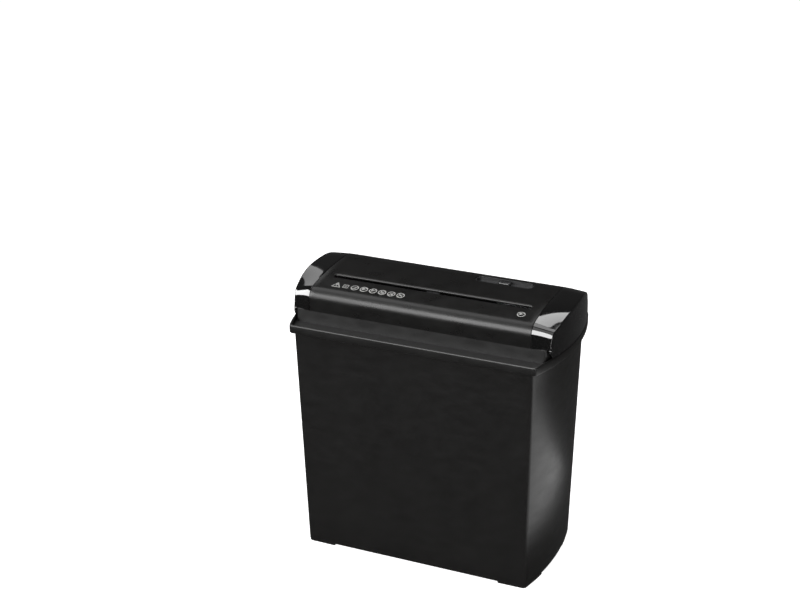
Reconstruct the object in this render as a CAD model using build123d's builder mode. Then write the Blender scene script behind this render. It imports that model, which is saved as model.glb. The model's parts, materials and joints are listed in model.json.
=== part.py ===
from build123d import *
import os
from math import acos, atan2, cos, hypot, pi, radians, sin, sqrt, tan

# Desk-side strip-cut paper shredder: a waste bin with a lift-off cutting head.
# Millimetres. Origin at the bottom centre, +X to the right, the front faces -Y, +Z up.

# ---------------------------------------------------------------- bin
RIM_TOP = 257.0
RIM_HEIGHT = 9.0
RIM_WALL = 2.5
RIM_HALF_DEPTH = 79.3
RIM_CORNER_X = 134.7
RIM_MID_X = 148.4
RIM_CORNER_R = 5.5
WALL = 2.2
NECK_HALF_DEPTH = 75.5
NECK_CORNER_X = 130.5
NECK_MID_X = 142.8
BASE_HALF_DEPTH = 66.9
BASE_CORNER_X = 124.8
BASE_MID_X = 132.5
WALL_CORNER_R = 4.5
FOOT_HEIGHT = 2.0
FOOT_LENGTH = 30.5
FOOT_DEPTH = 35.0
RIM_EDGE_R = 1.0
RIM_UNDER_R = 0.8
RIM_BOTTOM = RIM_TOP - RIM_HEIGHT
LEDGE_TOP = RIM_BOTTOM + RIM_WALL
BIN_FLOOR = FOOT_HEIGHT + 2.5

# The rim's bowed side is one arc, and the head's sides run parallel to it.
SIDE_R = (RIM_HALF_DEPTH**2 + (RIM_MID_X - RIM_CORNER_X) ** 2) / (2 * (RIM_MID_X - RIM_CORNER_X))
SIDE_CENTRE_X = RIM_MID_X - SIDE_R

# ---------------------------------------------------------------- head housing
SKIN = 2.5
PARTING = 267.0
CAP_BOTTOM = RIM_TOP + 0.3
HEAD_FRONT = -58.0
HEAD_BACK = 67.8
FRONT_BEND_R = 13.0
FRONT_BEND_Z = 279.0
FRONT_BEND_SLOPE = 13.0
CROWN = (-4.0, 297.6)
TOP_BACK = (24.0, 298.4)
BACK_SHOULDER = (56.0, 288.0)
BACK_KNEE = (65.5, 275.0)
SEAM_X = 121.5
SEAM_GAP = 0.15
CAP_SIDE_INSET = 0.6
HOUSING_BASE = 240.0
HOUSING_REACH = 160.0
OVERRUN = 1.0

# Paper slot
SLOT_LENGTH = 218.0
SLOT_WIDTH = 6.5
SLOT_Y = -23.5
SLOT_LIP_R = 1.2
SLOT_LIP_Z = 294.5
TONGUE_PLACES = (-80.0, 0.0, 80.0)
TONGUE_HALF = 8.0
TONGUE = 1.5
TONGUE_REACH = 6.0

# Side panel of an end cap: its lower corners sweep in to the rim
SWEEP_MID = (2.2, 5.5)
SWEEP_END = (8.0, 11.0)
CAP_EDGE_R = 1.2

# Lower tray
FLANGE_BOTTOM = LEDGE_TOP
FLANGE_TOP = FLANGE_BOTTOM + 2.5
TUB_FLOOR = 226.0
TUB_HALF_DEPTH = 54.0
TUB_CORNER_X = 129.8
TUB_MID_X = 136.1
TUB_WALL = 2.0
TRAY_FRONT = -57.4
TRAY_BACK = 67.2
TRAY_WALL = 1.8
TRAY_INSET = 4.5
FLANGE_GAP = 0.6
EXIT_HALF = 107.0
EXIT_FRONT = -44.0
EXIT_BACK = 2.0

# Screw bosses, as (x, y): the outermost ones on each side are long and stand on the tub's floor
COVER_BOSSES = ((-117.6, 46.0), (117.6, 46.0), (-60.0, 58.5), (60.0, 58.5))
CAP_BOSSES = ((127.0, -46.0), (138.0, 20.0))
LONG_BOSS_Y = 46.0
BOSS_R = 3.2
LONG_BOSS_R = 4.0
PILOT_R = 1.45
PILOT_DEPTH = 10.0
SHANK_GRIP = 8.0
LONG_SEAT = PARTING - 6.0
HEAD_HEIGHT = 2.3

# ---------------------------------------------------------------- cutting block
STRIP = 7.2
CUT_COUNT = 15
CUT_HALF = CUT_COUNT * STRIP
DISC_R = 15.0
DISC_WIDTH = 6.9
SPACER_R = 9.5
AXIS_Z = 258.0
FRONT_AXIS = (-35.0, AXIS_Z)
REAR_AXIS = (-9.0, AXIS_Z)
HEX_FLATS = 9.0
JOURNAL_R = 4.0
BUSH_R = 6.0
PLATE_IN = 111.0
PLATE = 2.0
PLATE_OUT = PLATE_IN + PLATE
RUN_GAP = 0.05
RING = 0.6
GRIP_NOTCHES = 20
GRIP_NOTCH_R = 0.9

# ---------------------------------------------------------------- gears and motor
SYNC_TEETH = 26
DRIVE_TEETH = 44
IDLER_PINION_TEETH = 12
IDLER_WHEEL_TEETH = 44
MOTOR_TEETH = 10
CUTTER_MODULE = 1.0
MOTOR_MODULE = 0.8
PRESSURE = radians(25)
ADDENDUM = 0.85
DEDENDUM = 1.15
BACKLASH = 0.10
LAYER_A = (114.2, 117.6)
LAYER_B = (118.8, 122.8)
LAYER_C = (123.4, 127.4)
GEAR_PLATE = (128.4, 130.0)
MOTOR_AXIS = (32.0, 264.0)
MOTOR_R = 19.5
MOTOR_LEFT = 56.0
MOTOR_SHAFT_R = 2.0
IDLER_PIN_R = 2.5
TIE_R = 3.0
TIE_PLACES = ((-43.0, 281.0), (6.0, 287.0), (14.0, 236.0))
PILLAR_PLACES = ((-14.0, 287.0), (36.0, 284.0), (22.0, 240.0))
SCREW_HEAD_R = 2.8
SCREW_R = 1.5

# ---------------------------------------------------------------- controls
KNOB_X = 62.0
KNOB_Y = 23.0
KNOB_THROW = 6.0
BEZEL = (64.0, 14.0)
BEZEL_FLOOR = 294.9
BEZEL_UNDER = 293.6
BEZEL_TOP = 297.6
KNOB = (14.0, 8.0)
KNOB_HEIGHT = 3.4
KNOB_GAP = 0.2
BOARD_SCREW_REACH = 24.0
BOARD_Z = 284.4
BOARD = 1.6
LEVER_AXIS = (-13.0, 281.0)
LEVER_PIN_R = 1.0
PLUNGER = (-100.0, 60.0)
PLUNGER_TIP = 253.8
PLUNGER_R = 2.0
PLUNGER_HEAD = (262.0, 263.6)
RIB = 3.0
RIB_LOW = 205.0
RIB_GAP = 0.3
INTERLOCK_SWITCH_Z = (267.5, 273.5)
GLAND = (92.0, 260.0)
GLAND_R = 4.95
GLAND_FLANGE_R = 6.5
GLAND_BORE_R = 3.2

os.makedirs("parts", exist_ok=True)


# ---------------------------------------------------------------- shared shapes
def side_x(y, inset=0.0):
    """X of the bowed side arc at depth y, moved inwards by inset."""
    return SIDE_CENTRE_X + sqrt((SIDE_R - inset) ** 2 - y**2)


def bowed_edges(front, back, x_front, x_mid, x_back):
    """Edges of a plan with flat front and back and bowed sides."""
    Line((-x_front, front), (x_front, front))
    ThreePointArc((x_front, front), (x_mid, 0), (x_back, back))
    Line((x_back, back), (-x_back, back))
    ThreePointArc((-x_back, back), (-x_mid, 0), (-x_front, front))


def bowed_prism(bottom, top, front, back, inset=None, xs=None, corner=3.0):
    """Upright prism on a bowed plan, from the shared side arc or from given widths."""
    if xs is None:
        xs = (side_x(front, inset), side_x(0, inset), side_x(back, inset))
    with BuildPart() as prism:
        with BuildSketch(Plane.XY.offset(bottom)) as plan:
            with BuildLine():
                bowed_edges(front, back, *xs)
            make_face()
            fillet(plan.vertices(), corner)
        extrude(amount=top - bottom)
    return prism.part


def bowed_loft(bottom, top, low, high, corner):
    """Tapering body between two symmetrical bowed plans (half depth, corner x, middle x)."""
    with BuildPart() as body:
        with BuildSketch(Plane.XY.offset(bottom)) as lower:
            with BuildLine():
                bowed_edges(-low[0], low[0], low[1], low[2], low[1])
            make_face()
            fillet(lower.vertices(), corner)
        with BuildSketch(Plane.XY.offset(top)) as upper:
            with BuildLine():
                bowed_edges(-high[0], high[0], high[1], high[2], high[1])
            make_face()
            fillet(upper.vertices(), corner)
        loft(ruled=True)
    return body.part


def housing_prism(inset=0.0):
    """Side profile of the head carried right across it, with its skin taken off by inset."""
    slope = radians(FRONT_BEND_SLOPE)
    bend_y = HEAD_FRONT + FRONT_BEND_R
    bend_end = (bend_y - FRONT_BEND_R * sin(slope), FRONT_BEND_Z + FRONT_BEND_R * cos(slope))
    with BuildPart() as prism:
        with BuildSketch(Plane.YZ.offset(-HOUSING_REACH)):
            with BuildLine() as outline:
                Line((HEAD_FRONT, HOUSING_BASE), (HEAD_FRONT, FRONT_BEND_Z))
                TangentArc((HEAD_FRONT, FRONT_BEND_Z), bend_end, tangent=(0, 1))
                TangentArc(bend_end, CROWN, tangent=outline.edges()[-1] % 1)
                TangentArc(CROWN, TOP_BACK, tangent=outline.edges()[-1] % 1)
                TangentArc(TOP_BACK, BACK_SHOULDER, tangent=outline.edges()[-1] % 1)
                TangentArc(BACK_SHOULDER, BACK_KNEE, tangent=outline.edges()[-1] % 1)
                Line(BACK_KNEE, (HEAD_BACK, PARTING))
                Line((HEAD_BACK, PARTING), (HEAD_BACK, HOUSING_BASE))
                Line((HEAD_BACK, HOUSING_BASE), (HEAD_FRONT, HOUSING_BASE))
            make_face()
            if inset:
                offset(amount=-inset, kind=Kind.INTERSECTION, mode=Mode.REPLACE)
        extrude(amount=2 * HOUSING_REACH)
    return prism.part


def side_plan(inner, inset):
    """Closed plan from one x out to the bowed side, just past the head's front and back."""
    front = HEAD_FRONT - OVERRUN
    back = HEAD_BACK + OVERRUN
    Line((inner, front), (side_x(front, inset), front))
    ThreePointArc((side_x(front, inset), front), (side_x(0, inset), 0), (side_x(back, inset), back))
    Line((side_x(back, inset), back), (inner, back))
    Line((inner, back), (inner, front))


def corner_sweep(edge, inward):
    """Profile of the waste below a side panel's lower corner, at the panel's front or back edge."""
    mid = (edge + inward * SWEEP_MID[0], PARTING - SWEEP_MID[1])
    end = (edge + inward * SWEEP_END[0], PARTING - SWEEP_END[1])
    outside = edge - inward * OVERRUN
    ThreePointArc((edge, PARTING), mid, end)
    Line(end, (outside, end[1]))
    Line((outside, end[1]), (outside, PARTING))
    Line((outside, PARTING), (edge, PARTING))


def peg(x, y, bottom, top, radius):
    """Upright round peg or hole."""
    with BuildPart() as pin:
        with BuildSketch(Plane.XY.offset(bottom)):
            with Locations((x, y)):
                Circle(radius)
        extrude(amount=top - bottom)
    return pin.part


def bar(axis, left, right, radius):
    """Round bar along X at (y, z)."""
    with BuildPart() as rod:
        with BuildSketch(Plane.YZ.offset(left)):
            with Locations(axis):
                Circle(radius)
        extrude(amount=right - left)
    return rod.part


def block(low, high):
    """Plain block between two corners, for ribs, lugs and clearances."""
    with BuildPart() as body:
        with Locations(tuple((a + b) / 2 for a, b in zip(low, high))):
            Box(*[b - a for a, b in zip(low, high)])
    return body.part


def finish(builder, name):
    """Label a finished piece and write it out."""
    builder.part.label = name
    export_step(builder.part, f"parts/{name}.step")


# ---------------------------------------------------------------- bin
outer_low = (BASE_HALF_DEPTH, BASE_CORNER_X, BASE_MID_X)
outer_high = (NECK_HALF_DEPTH, NECK_CORNER_X, NECK_MID_X)
inner_low = tuple(size - WALL for size in outer_low)
inner_high = tuple(size - WALL for size in outer_high)

with BuildPart() as bin_shell:
    add(bowed_loft(FOOT_HEIGHT, RIM_BOTTOM, outer_low, outer_high, WALL_CORNER_R))
    add(bowed_prism(RIM_BOTTOM, RIM_TOP, -RIM_HALF_DEPTH, RIM_HALF_DEPTH, inset=0, corner=RIM_CORNER_R))
    rim_edges = bin_shell.edges().group_by(Axis.Z)[-1]
    fillet(rim_edges, RIM_EDGE_R)
    under_rim = bin_shell.faces().filter_by(Axis.Z).sort_by(Axis.Z)[1]
    fillet(under_rim.outer_wire().edges(), RIM_UNDER_R)
    add(bowed_loft(BIN_FLOOR, RIM_BOTTOM, inner_low, inner_high, WALL_CORNER_R - WALL), mode=Mode.SUBTRACT)
    add(
        bowed_prism(
            RIM_BOTTOM, LEDGE_TOP, -inner_high[0], inner_high[0],
            xs=(inner_high[1], inner_high[2], inner_high[1]), corner=WALL_CORNER_R - WALL,
        ),
        mode=Mode.SUBTRACT,
    )
    pocket = RIM_HALF_DEPTH - RIM_WALL
    add(
        bowed_prism(LEDGE_TOP, RIM_TOP, -pocket, pocket, inset=RIM_WALL, corner=RIM_CORNER_R - RIM_WALL),
        mode=Mode.SUBTRACT,
    )
    # Four moulded corner feet
    with BuildSketch() as feet:
        with BuildLine():
            bowed_edges(-BASE_HALF_DEPTH, BASE_HALF_DEPTH, BASE_CORNER_X, BASE_MID_X, BASE_CORNER_X)
        make_face()
        fillet(feet.vertices(), WALL_CORNER_R)
        Rectangle(2 * (BASE_CORNER_X - FOOT_LENGTH), 2 * RIM_HALF_DEPTH, mode=Mode.SUBTRACT)
        Rectangle(2 * RIM_MID_X, 2 * (BASE_HALF_DEPTH - FOOT_DEPTH), mode=Mode.SUBTRACT)
    extrude(amount=FOOT_HEIGHT)
    # Interlock rib on the back wall, with a finger that enters the tray flange
    px, py = PLUNGER
    rib_top = LEDGE_TOP - 0.5
    add(block((px - RIB / 2, py - 4, RIB_LOW), (px + RIB / 2, NECK_HALF_DEPTH - 1.8, rib_top)))
    add(block((px - RIB / 2, py - 2, rib_top), (px + RIB / 2, py + 2, PLUNGER_TIP - RIB_GAP)))
finish(bin_shell, "bin")

# ---------------------------------------------------------------- top cover
HOUSING_TOP = HOUSING_BASE + 80.0

with BuildPart() as cover_void:
    add(housing_prism(SKIN))
    for x, y in COVER_BOSSES:
        add(peg(x, y, PARTING, HOUSING_TOP, BOSS_R), mode=Mode.SUBTRACT)

with BuildPart() as top_cover:
    add(housing_prism())
    with BuildSketch(Plane.XY.offset(PARTING)):
        with BuildLine():
            Polyline(
                (SEAM_GAP - SEAM_X, HEAD_FRONT - OVERRUN),
                (SEAM_X - SEAM_GAP, HEAD_FRONT - OVERRUN),
                (SEAM_X - SEAM_GAP, HEAD_BACK + OVERRUN),
                (SEAM_GAP - SEAM_X, HEAD_BACK + OVERRUN),
                close=True,
            )
        make_face()
    extrude(amount=HOUSING_TOP - PARTING, mode=Mode.INTERSECT)
    add(cover_void.part, mode=Mode.SUBTRACT)
    # Paper slot with rounded lips
    with BuildSketch(Plane.XY.offset(PARTING + 15)):
        with Locations((0, SLOT_Y)):
            SlotOverall(SLOT_LENGTH, SLOT_WIDTH)
    extrude(amount=30, mode=Mode.SUBTRACT)
    slot_edges = [e for e in top_cover.edges() if abs(e.center().Y - SLOT_Y) < SLOT_WIDTH]
    lips = [e for e in slot_edges if e.center().Z > SLOT_LIP_Z and e.length > SKIN + 1]
    fillet(lips, SLOT_LIP_R)
    # Opening for the switch bezel
    with BuildSketch(Plane.XY.offset(PARTING + 20)):
        with Locations((KNOB_X, KNOB_Y)):
            SlotOverall(*BEZEL)
    extrude(amount=30, mode=Mode.SUBTRACT)
    # Screw pilots in the bosses
    for x, y in COVER_BOSSES:
        add(peg(x, y, PARTING - 1, PARTING + PILOT_DEPTH, PILOT_R), mode=Mode.SUBTRACT)
    # Front tongues that hook behind the tray wall
    for x in TONGUE_PLACES:
        low = (x - TONGUE_HALF, HEAD_FRONT + SKIN, PARTING - TONGUE_REACH)
        add(block(low, (x + TONGUE_HALF, HEAD_FRONT + SKIN + TONGUE, PARTING + TONGUE_REACH)))
finish(top_cover, "top_cover")

# ---------------------------------------------------------------- end caps
inner_side = CAP_SIDE_INSET + SKIN

with BuildPart() as cap_void:
    add(housing_prism(SKIN))
    with BuildSketch(Plane.XY.offset(HOUSING_BASE)):
        with BuildLine():
            side_plan(0, inner_side)
        make_face()
    extrude(amount=HOUSING_TOP - HOUSING_BASE, mode=Mode.INTERSECT)
    for x, y in CAP_BOSSES:
        add(peg(x, y, PARTING, HOUSING_TOP, BOSS_R), mode=Mode.SUBTRACT)

with BuildPart() as right_end_cap:
    add(housing_prism())
    with BuildSketch(Plane.XY.offset(CAP_BOTTOM)):
        with BuildLine():
            side_plan(SEAM_X, CAP_SIDE_INSET)
        make_face()
    extrude(amount=HOUSING_TOP - CAP_BOTTOM, mode=Mode.INTERSECT)
    add(cap_void.part, mode=Mode.SUBTRACT)
    # Below the parting line only the side panel goes on, down to the rim
    with BuildSketch(Plane.XY.offset(HOUSING_BASE)):
        with BuildLine():
            side_plan(0, inner_side)
        make_face()
    extrude(amount=PARTING - HOUSING_BASE, mode=Mode.SUBTRACT)
    with BuildSketch(Plane.YZ.offset(SEAM_X)):
        with BuildLine():
            corner_sweep(HEAD_FRONT, 1)
        make_face()
        with BuildLine():
            corner_sweep(HEAD_BACK, -1)
        make_face()
    extrude(amount=HOUSING_REACH - SEAM_X, mode=Mode.SUBTRACT)
    for x, y in CAP_BOSSES:
        add(peg(x, y, PARTING - 1, PARTING + PILOT_DEPTH, PILOT_R), mode=Mode.SUBTRACT)
    outer_edges = [
        e for e in right_end_cap.edges()
        if e.center().Z > PARTING and e.length > 4
        and all(abs(v.X - side_x(v.Y, CAP_SIDE_INSET)) < 0.05 for v in e.vertices())
    ]
    fillet(outer_edges, CAP_EDGE_R)
finish(right_end_cap, "right_end_cap")

with BuildPart() as left_end_cap:
    mirror(right_end_cap.part, about=Plane.YZ)
finish(left_end_cap, "left_end_cap")

# ---------------------------------------------------------------- lower tray
TRAY_BOSSES = COVER_BOSSES + tuple((side * x, y) for side in (-1, 1) for x, y in CAP_BOSSES)
LONG_BOSSES = tuple(spot for spot in TRAY_BOSSES if abs(spot[1]) == LONG_BOSS_Y)
tub = (TUB_CORNER_X, TUB_MID_X, TUB_CORNER_X)
tub_in = tuple(x - TUB_WALL for x in tub)
tub_back = TUB_HALF_DEPTH - TUB_WALL
flange_inset = RIM_WALL + FLANGE_GAP
flange_depth = RIM_HALF_DEPTH - flange_inset

with BuildPart() as lower_tray:
    add(bowed_prism(TUB_FLOOR, FLANGE_TOP, -TUB_HALF_DEPTH, TUB_HALF_DEPTH, xs=tub, corner=6))
    add(bowed_prism(FLANGE_BOTTOM, FLANGE_TOP, -flange_depth, flange_depth, inset=flange_inset, corner=5))
    add(bowed_prism(FLANGE_TOP, PARTING, TRAY_FRONT, TRAY_BACK, inset=TRAY_INSET, corner=4))
    add(
        bowed_prism(
            FLANGE_TOP, PARTING, TRAY_FRONT + TRAY_WALL, TRAY_BACK - TRAY_WALL,
            inset=TRAY_INSET + TRAY_WALL, corner=3,
        ),
        mode=Mode.SUBTRACT,
    )
    add(
        bowed_prism(TUB_FLOOR + SKIN, FLANGE_TOP, -tub_back, tub_back, xs=tub_in, corner=4),
        mode=Mode.SUBTRACT,
    )
    # Exit mouth for the strips, and the hole for the interlock finger
    exit_low = (-EXIT_HALF, EXIT_FRONT, TUB_FLOOR - 1)
    add(block(exit_low, (EXIT_HALF, EXIT_BACK, TUB_FLOOR + SKIN + 1)), mode=Mode.SUBTRACT)
    finger_low = (px - RIB / 2 - 1, py - 3, FLANGE_BOTTOM - 1)
    add(block(finger_low, (px + RIB / 2 + 1, py + 3, FLANGE_TOP + 1)), mode=Mode.SUBTRACT)
    # Screw bosses
    for x, y in TRAY_BOSSES:
        if (x, y) in LONG_BOSSES:
            add(peg(x, y, TUB_FLOOR, PARTING, LONG_BOSS_R))
        else:
            add(peg(x, y, FLANGE_BOTTOM, PARTING, BOSS_R))
    for x, y in TRAY_BOSSES:
        long_boss = (x, y) in LONG_BOSSES
        low = TUB_FLOOR if long_boss else FLANGE_BOTTOM
        seat = LONG_SEAT if long_boss else FLANGE_TOP
        add(peg(x, y, low - 1, seat, SCREW_HEAD_R + 0.2), mode=Mode.SUBTRACT)
        add(peg(x, y, seat - 1, PARTING + 1, SCREW_R + 0.15), mode=Mode.SUBTRACT)
    # Guide for the interlock plunger and the post that carries its switch
    sleeve_low = PLUNGER_TIP + 1.7
    sleeve_top = PLUNGER_HEAD[0]
    add(peg(px, py, sleeve_low, sleeve_top, PLUNGER_R + 1.4))
    add(block((px - 1, py + PLUNGER_R, sleeve_low), (px + 1, TRAY_BACK - TRAY_WALL + 0.5, sleeve_top)))
    add(peg(px, py, PLUNGER_TIP, sleeve_top + 1, PLUNGER_R + RUN_GAP), mode=Mode.SUBTRACT)
    add(block((px - 8.5, py - 3, FLANGE_TOP - 0.5), (px - 5.5, py + 2.5, INTERLOCK_SWITCH_Z[1])))
    # Outlet for the cord gland
    with BuildSketch(Plane.XZ.offset(-(TRAY_BACK - 5))):
        with Locations(GLAND):
            Circle(GLAND_R + RUN_GAP)
    extrude(amount=-10, mode=Mode.SUBTRACT)
finish(lower_tray, "lower_tray")

# ---------------------------------------------------------------- paper guide under the slot
GUIDE_TOP = 291.3
GUIDE_BOTTOM = 274.5
GUIDE_HALF = 110.6
GUIDE_DEPTH = 6.0
MOUTH_LENGTH = 217.0
MOUTH_TOP = 7.5
MOUTH_BOTTOM = 5.0
LUG_X = (2.2, 4.2)
SHELF_BACK = 2.6
with BuildPart() as paper_guide:
    guide_low = (-GUIDE_HALF, SLOT_Y - GUIDE_DEPTH, GUIDE_BOTTOM)
    add(block(guide_low, (GUIDE_HALF, SLOT_Y + GUIDE_DEPTH, GUIDE_TOP)))
    # Funnel that narrows towards the cutters
    with BuildSketch(Plane.XY.offset(GUIDE_TOP)):
        with Locations((0, SLOT_Y)):
            Rectangle(MOUTH_LENGTH, MOUTH_TOP)
    with BuildSketch(Plane.XY.offset(GUIDE_BOTTOM)):
        with Locations((0, SLOT_Y)):
            Rectangle(MOUTH_LENGTH, MOUTH_BOTTOM)
    loft(ruled=True, mode=Mode.SUBTRACT)
    # Window for the paper sensor's flag
    add(block((-LUG_X[0], SLOT_Y - 7, 276.5), (LUG_X[0], SLOT_Y + 7, 288.8)), mode=Mode.SUBTRACT)
    # Two lugs for the lever's pin, under a shelf for its switch
    lug_back = LEVER_AXIS[0] + 3
    for side in (-1, 1):
        low_x, high_x = sorted((side * LUG_X[0], side * LUG_X[1]))
        add(block((low_x, SLOT_Y + 5.5, 278), (high_x, lug_back, GUIDE_TOP + 1)))
    add(block((-7, SLOT_Y + 5.5, GUIDE_TOP - 0.5), (7, SHELF_BACK, GUIDE_TOP + 1.5)))
    add(bar(LEVER_AXIS, -5, 5, LEVER_PIN_R), mode=Mode.SUBTRACT)
finish(paper_guide, "paper_guide")

with BuildPart() as lever_pin:
    add(bar(LEVER_AXIS, -4.8, 4.8, LEVER_PIN_R))
finish(lever_pin, "lever_pin")

with BuildPart() as paper_sensor_lever:
    with BuildSketch(Plane.YZ.offset(-1.5)):
        with Locations(LEVER_AXIS):
            Circle(2.4)
        with BuildLine():
            Polyline(
                (LEVER_AXIS[0] + 1, LEVER_AXIS[1] - 2), (LEVER_AXIS[0] + 7, LEVER_AXIS[1] - 1.2),
                (LEVER_AXIS[0] + 7, LEVER_AXIS[1] + 0.8), (LEVER_AXIS[0], LEVER_AXIS[1] + 2.2),
                (SLOT_Y - 3, 286), (SLOT_Y - 2.4, 283.5), (LEVER_AXIS[0] - 1, LEVER_AXIS[1] - 2),
                close=True,
            )
        make_face()
        with Locations(LEVER_AXIS):
            Circle(LEVER_PIN_R + RUN_GAP, mode=Mode.SUBTRACT)
    extrude(amount=3)
finish(paper_sensor_lever, "paper_sensor_lever")


def micro_switch(low, high, button_low):
    """Snap switch body with its button underneath and two solder tags on one end."""
    mid_x = (low[0] + high[0]) / 2
    mid_y = (low[1] + high[1]) / 2
    with BuildPart() as switch:
        with Locations((mid_x, mid_y, (low[2] + high[2]) / 2)):
            Box(high[0] - low[0], high[1] - low[1], high[2] - low[2])
        fillet(switch.edges().filter_by(Axis.Z), 0.4)
        with Locations((mid_x, mid_y, (button_low + low[2]) / 2)):
            Box(1.6, 2.4, low[2] - button_low)
        with Locations((high[0] + 1, mid_y - 1.4, high[2] - 2), (high[0] + 1, mid_y + 1.4, high[2] - 2)):
            Box(2, 0.5, 1.6)
    return switch


sensor_switch = micro_switch((-4, LEVER_AXIS[0] + 3.4, 285.4), (4, 2.4, GUIDE_TOP - 0.5), 284.0)
finish(sensor_switch, "paper_sensor_switch")
switch_low, switch_top = INTERLOCK_SWITCH_Z
interlock_low = (px - 5.5, py - 3, switch_low)
interlock_switch = micro_switch(interlock_low, (px + 5.5, py + 2.5, switch_top), switch_low - 1.1)
finish(interlock_switch, "interlock_switch")

with BuildPart() as interlock_plunger:
    add(peg(px, py, PLUNGER_TIP, PLUNGER_HEAD[0], PLUNGER_R))
    add(peg(px, py, *PLUNGER_HEAD, PLUNGER_R + 1))
finish(interlock_plunger, "interlock_plunger")

# ---------------------------------------------------------------- mode switch and circuit board
board_screw_places = (KNOB_X - BOARD_SCREW_REACH, KNOB_X + BOARD_SCREW_REACH)

with BuildPart() as switch_bezel:
    with BuildSketch(Plane.XY.offset(BEZEL_UNDER)):
        with Locations((KNOB_X, KNOB_Y)):
            SlotOverall(BEZEL[0] - 0.4, BEZEL[1] - 0.4)
    extrude(amount=BEZEL_TOP - BEZEL_UNDER)
    # Flange that bears on the cover from below
    with BuildSketch(Plane.XY.offset(BEZEL_UNDER)):
        with Locations((KNOB_X, KNOB_Y)):
            SlotOverall(BEZEL[0] + 5, BEZEL[1] + 5)
    extrude(amount=1.6)
    with BuildSketch(Plane.XY.offset(BEZEL_FLOOR)):
        with Locations((KNOB_X, KNOB_Y)):
            SlotOverall(BEZEL[0] - 3, BEZEL[1] - 3)
    extrude(amount=5, mode=Mode.SUBTRACT)
    # Slit for the knob's stem
    with BuildSketch(Plane.XY.offset(BEZEL_UNDER - 0.3)):
        with Locations((KNOB_X, KNOB_Y)):
            Rectangle(2 * KNOB_THROW + 4.5, 3.6)
    extrude(amount=3, mode=Mode.SUBTRACT)
    for x in board_screw_places:
        add(peg(x, KNOB_Y, BOARD_Z + BOARD, BEZEL_UNDER + 0.7, 2.2))
        add(peg(x, KNOB_Y, BOARD_Z, BOARD_Z + 6, 1.0), mode=Mode.SUBTRACT)
finish(switch_bezel, "switch_bezel")

with BuildPart() as mode_knob:
    with BuildSketch(Plane.XY.offset(BEZEL_FLOOR + KNOB_GAP)):
        with Locations((KNOB_X, KNOB_Y)):
            SlotOverall(*KNOB)
    extrude(amount=KNOB_HEIGHT)
    knob_top = mode_knob.faces().sort_by(Axis.Z)[-1]
    fillet(knob_top.edges(), 0.8)
    # Grip grooves
    with BuildSketch(Plane.XY.offset(BEZEL_FLOOR + KNOB_HEIGHT - 0.4)):
        with Locations([(KNOB_X + step, KNOB_Y) for step in (-3, -1, 1, 3)]):
            Rectangle(0.7, 5.5)
    extrude(amount=1, mode=Mode.SUBTRACT)
    add(block((KNOB_X - 1.8, KNOB_Y - 1.5, 290), (KNOB_X + 1.8, KNOB_Y + 1.5, BEZEL_FLOOR + 0.5)))
finish(mode_knob, "mode_knob")

with BuildPart() as mode_switch:
    add(block((KNOB_X - 15, KNOB_Y - 5.5, BOARD_Z + BOARD), (KNOB_X + 15, KNOB_Y + 5.5, BEZEL_UNDER - 0.7)))
    add(block((KNOB_X - 8.3, KNOB_Y - 1.8, 289.5), (KNOB_X + 8.3, KNOB_Y + 1.8, 294)), mode=Mode.SUBTRACT)
finish(mode_switch, "mode_switch")

with BuildPart() as circuit_board:
    add(block((-8, 10, BOARD_Z), (94, 34, BOARD_Z + BOARD)))
    for x in board_screw_places:
        add(peg(x, KNOB_Y, BOARD_Z - 1, BOARD_Z + BOARD + 1, 1.2), mode=Mode.SUBTRACT)
finish(circuit_board, "circuit_board")

with BuildPart() as board_screws:
    for x in board_screw_places:
        add(peg(x, KNOB_Y, BOARD_Z - 1.3, BOARD_Z, 2.2))
        add(peg(x, KNOB_Y, BOARD_Z - 0.5, BOARD_Z + 5, 1.0))
finish(board_screws, "board_screws")

with BuildPart() as filter_capacitor:
    add(block((-5, 14, BOARD_Z + BOARD), (13, 22, BOARD_Z + BOARD + 8)))
    fillet(filter_capacitor.edges().filter_by(Axis.Z), 0.8)
finish(filter_capacitor, "filter_capacitor")

# ---------------------------------------------------------------- cutting block frame
PLATE_OUTLINE = ((-51, TUB_FLOOR + SKIN), (46, TUB_FLOOR + SKIN), (46, 276), (36, 286.5), (15, 290.5),
                 (-18, 290.5), (-34, 286), (-51, 272))


def side_plate(left, motor_side):
    """Steel side plate with holes for the bushes and tie rods, and for the motor on one side."""
    with BuildPart() as plate:
        with BuildSketch(Plane.YZ.offset(left)):
            with BuildLine():
                Polyline(*PLATE_OUTLINE, close=True)
            make_face()
            with Locations(FRONT_AXIS, REAR_AXIS):
                Circle(BUSH_R, mode=Mode.SUBTRACT)
            with Locations(*TIE_PLACES):
                Circle(SCREW_R + 0.15, mode=Mode.SUBTRACT)
            # The guide's window through the plate's top edge
            with Locations((SLOT_Y, 292)):
                Rectangle(6, 12, mode=Mode.SUBTRACT)
            if motor_side:
                with Locations(MOTOR_AXIS):
                    Circle(5.0, mode=Mode.SUBTRACT)
                with Locations(*MOTOR_SCREWS):
                    Circle(SCREW_R + 0.15, mode=Mode.SUBTRACT)
                with Locations(idler_axis):
                    Circle(IDLER_PIN_R + 0.02, mode=Mode.SUBTRACT)
                with Locations(*PILLAR_PLACES):
                    Circle(SCREW_R + 0.15, mode=Mode.SUBTRACT)
        extrude(amount=PLATE)
    return plate


def mesh_point(start, end, start_reach, end_reach):
    """Upper point that lies start_reach from start and end_reach from end."""
    span = hypot(end[0] - start[0], end[1] - start[1])
    along = (start_reach**2 - end_reach**2 + span**2) / (2 * span)
    up = sqrt(start_reach**2 - along**2)
    uy, uz = (end[0] - start[0]) / span, (end[1] - start[1]) / span
    return (start[0] + along * uy - up * uz, start[1] + along * uz + up * uy)


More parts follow.
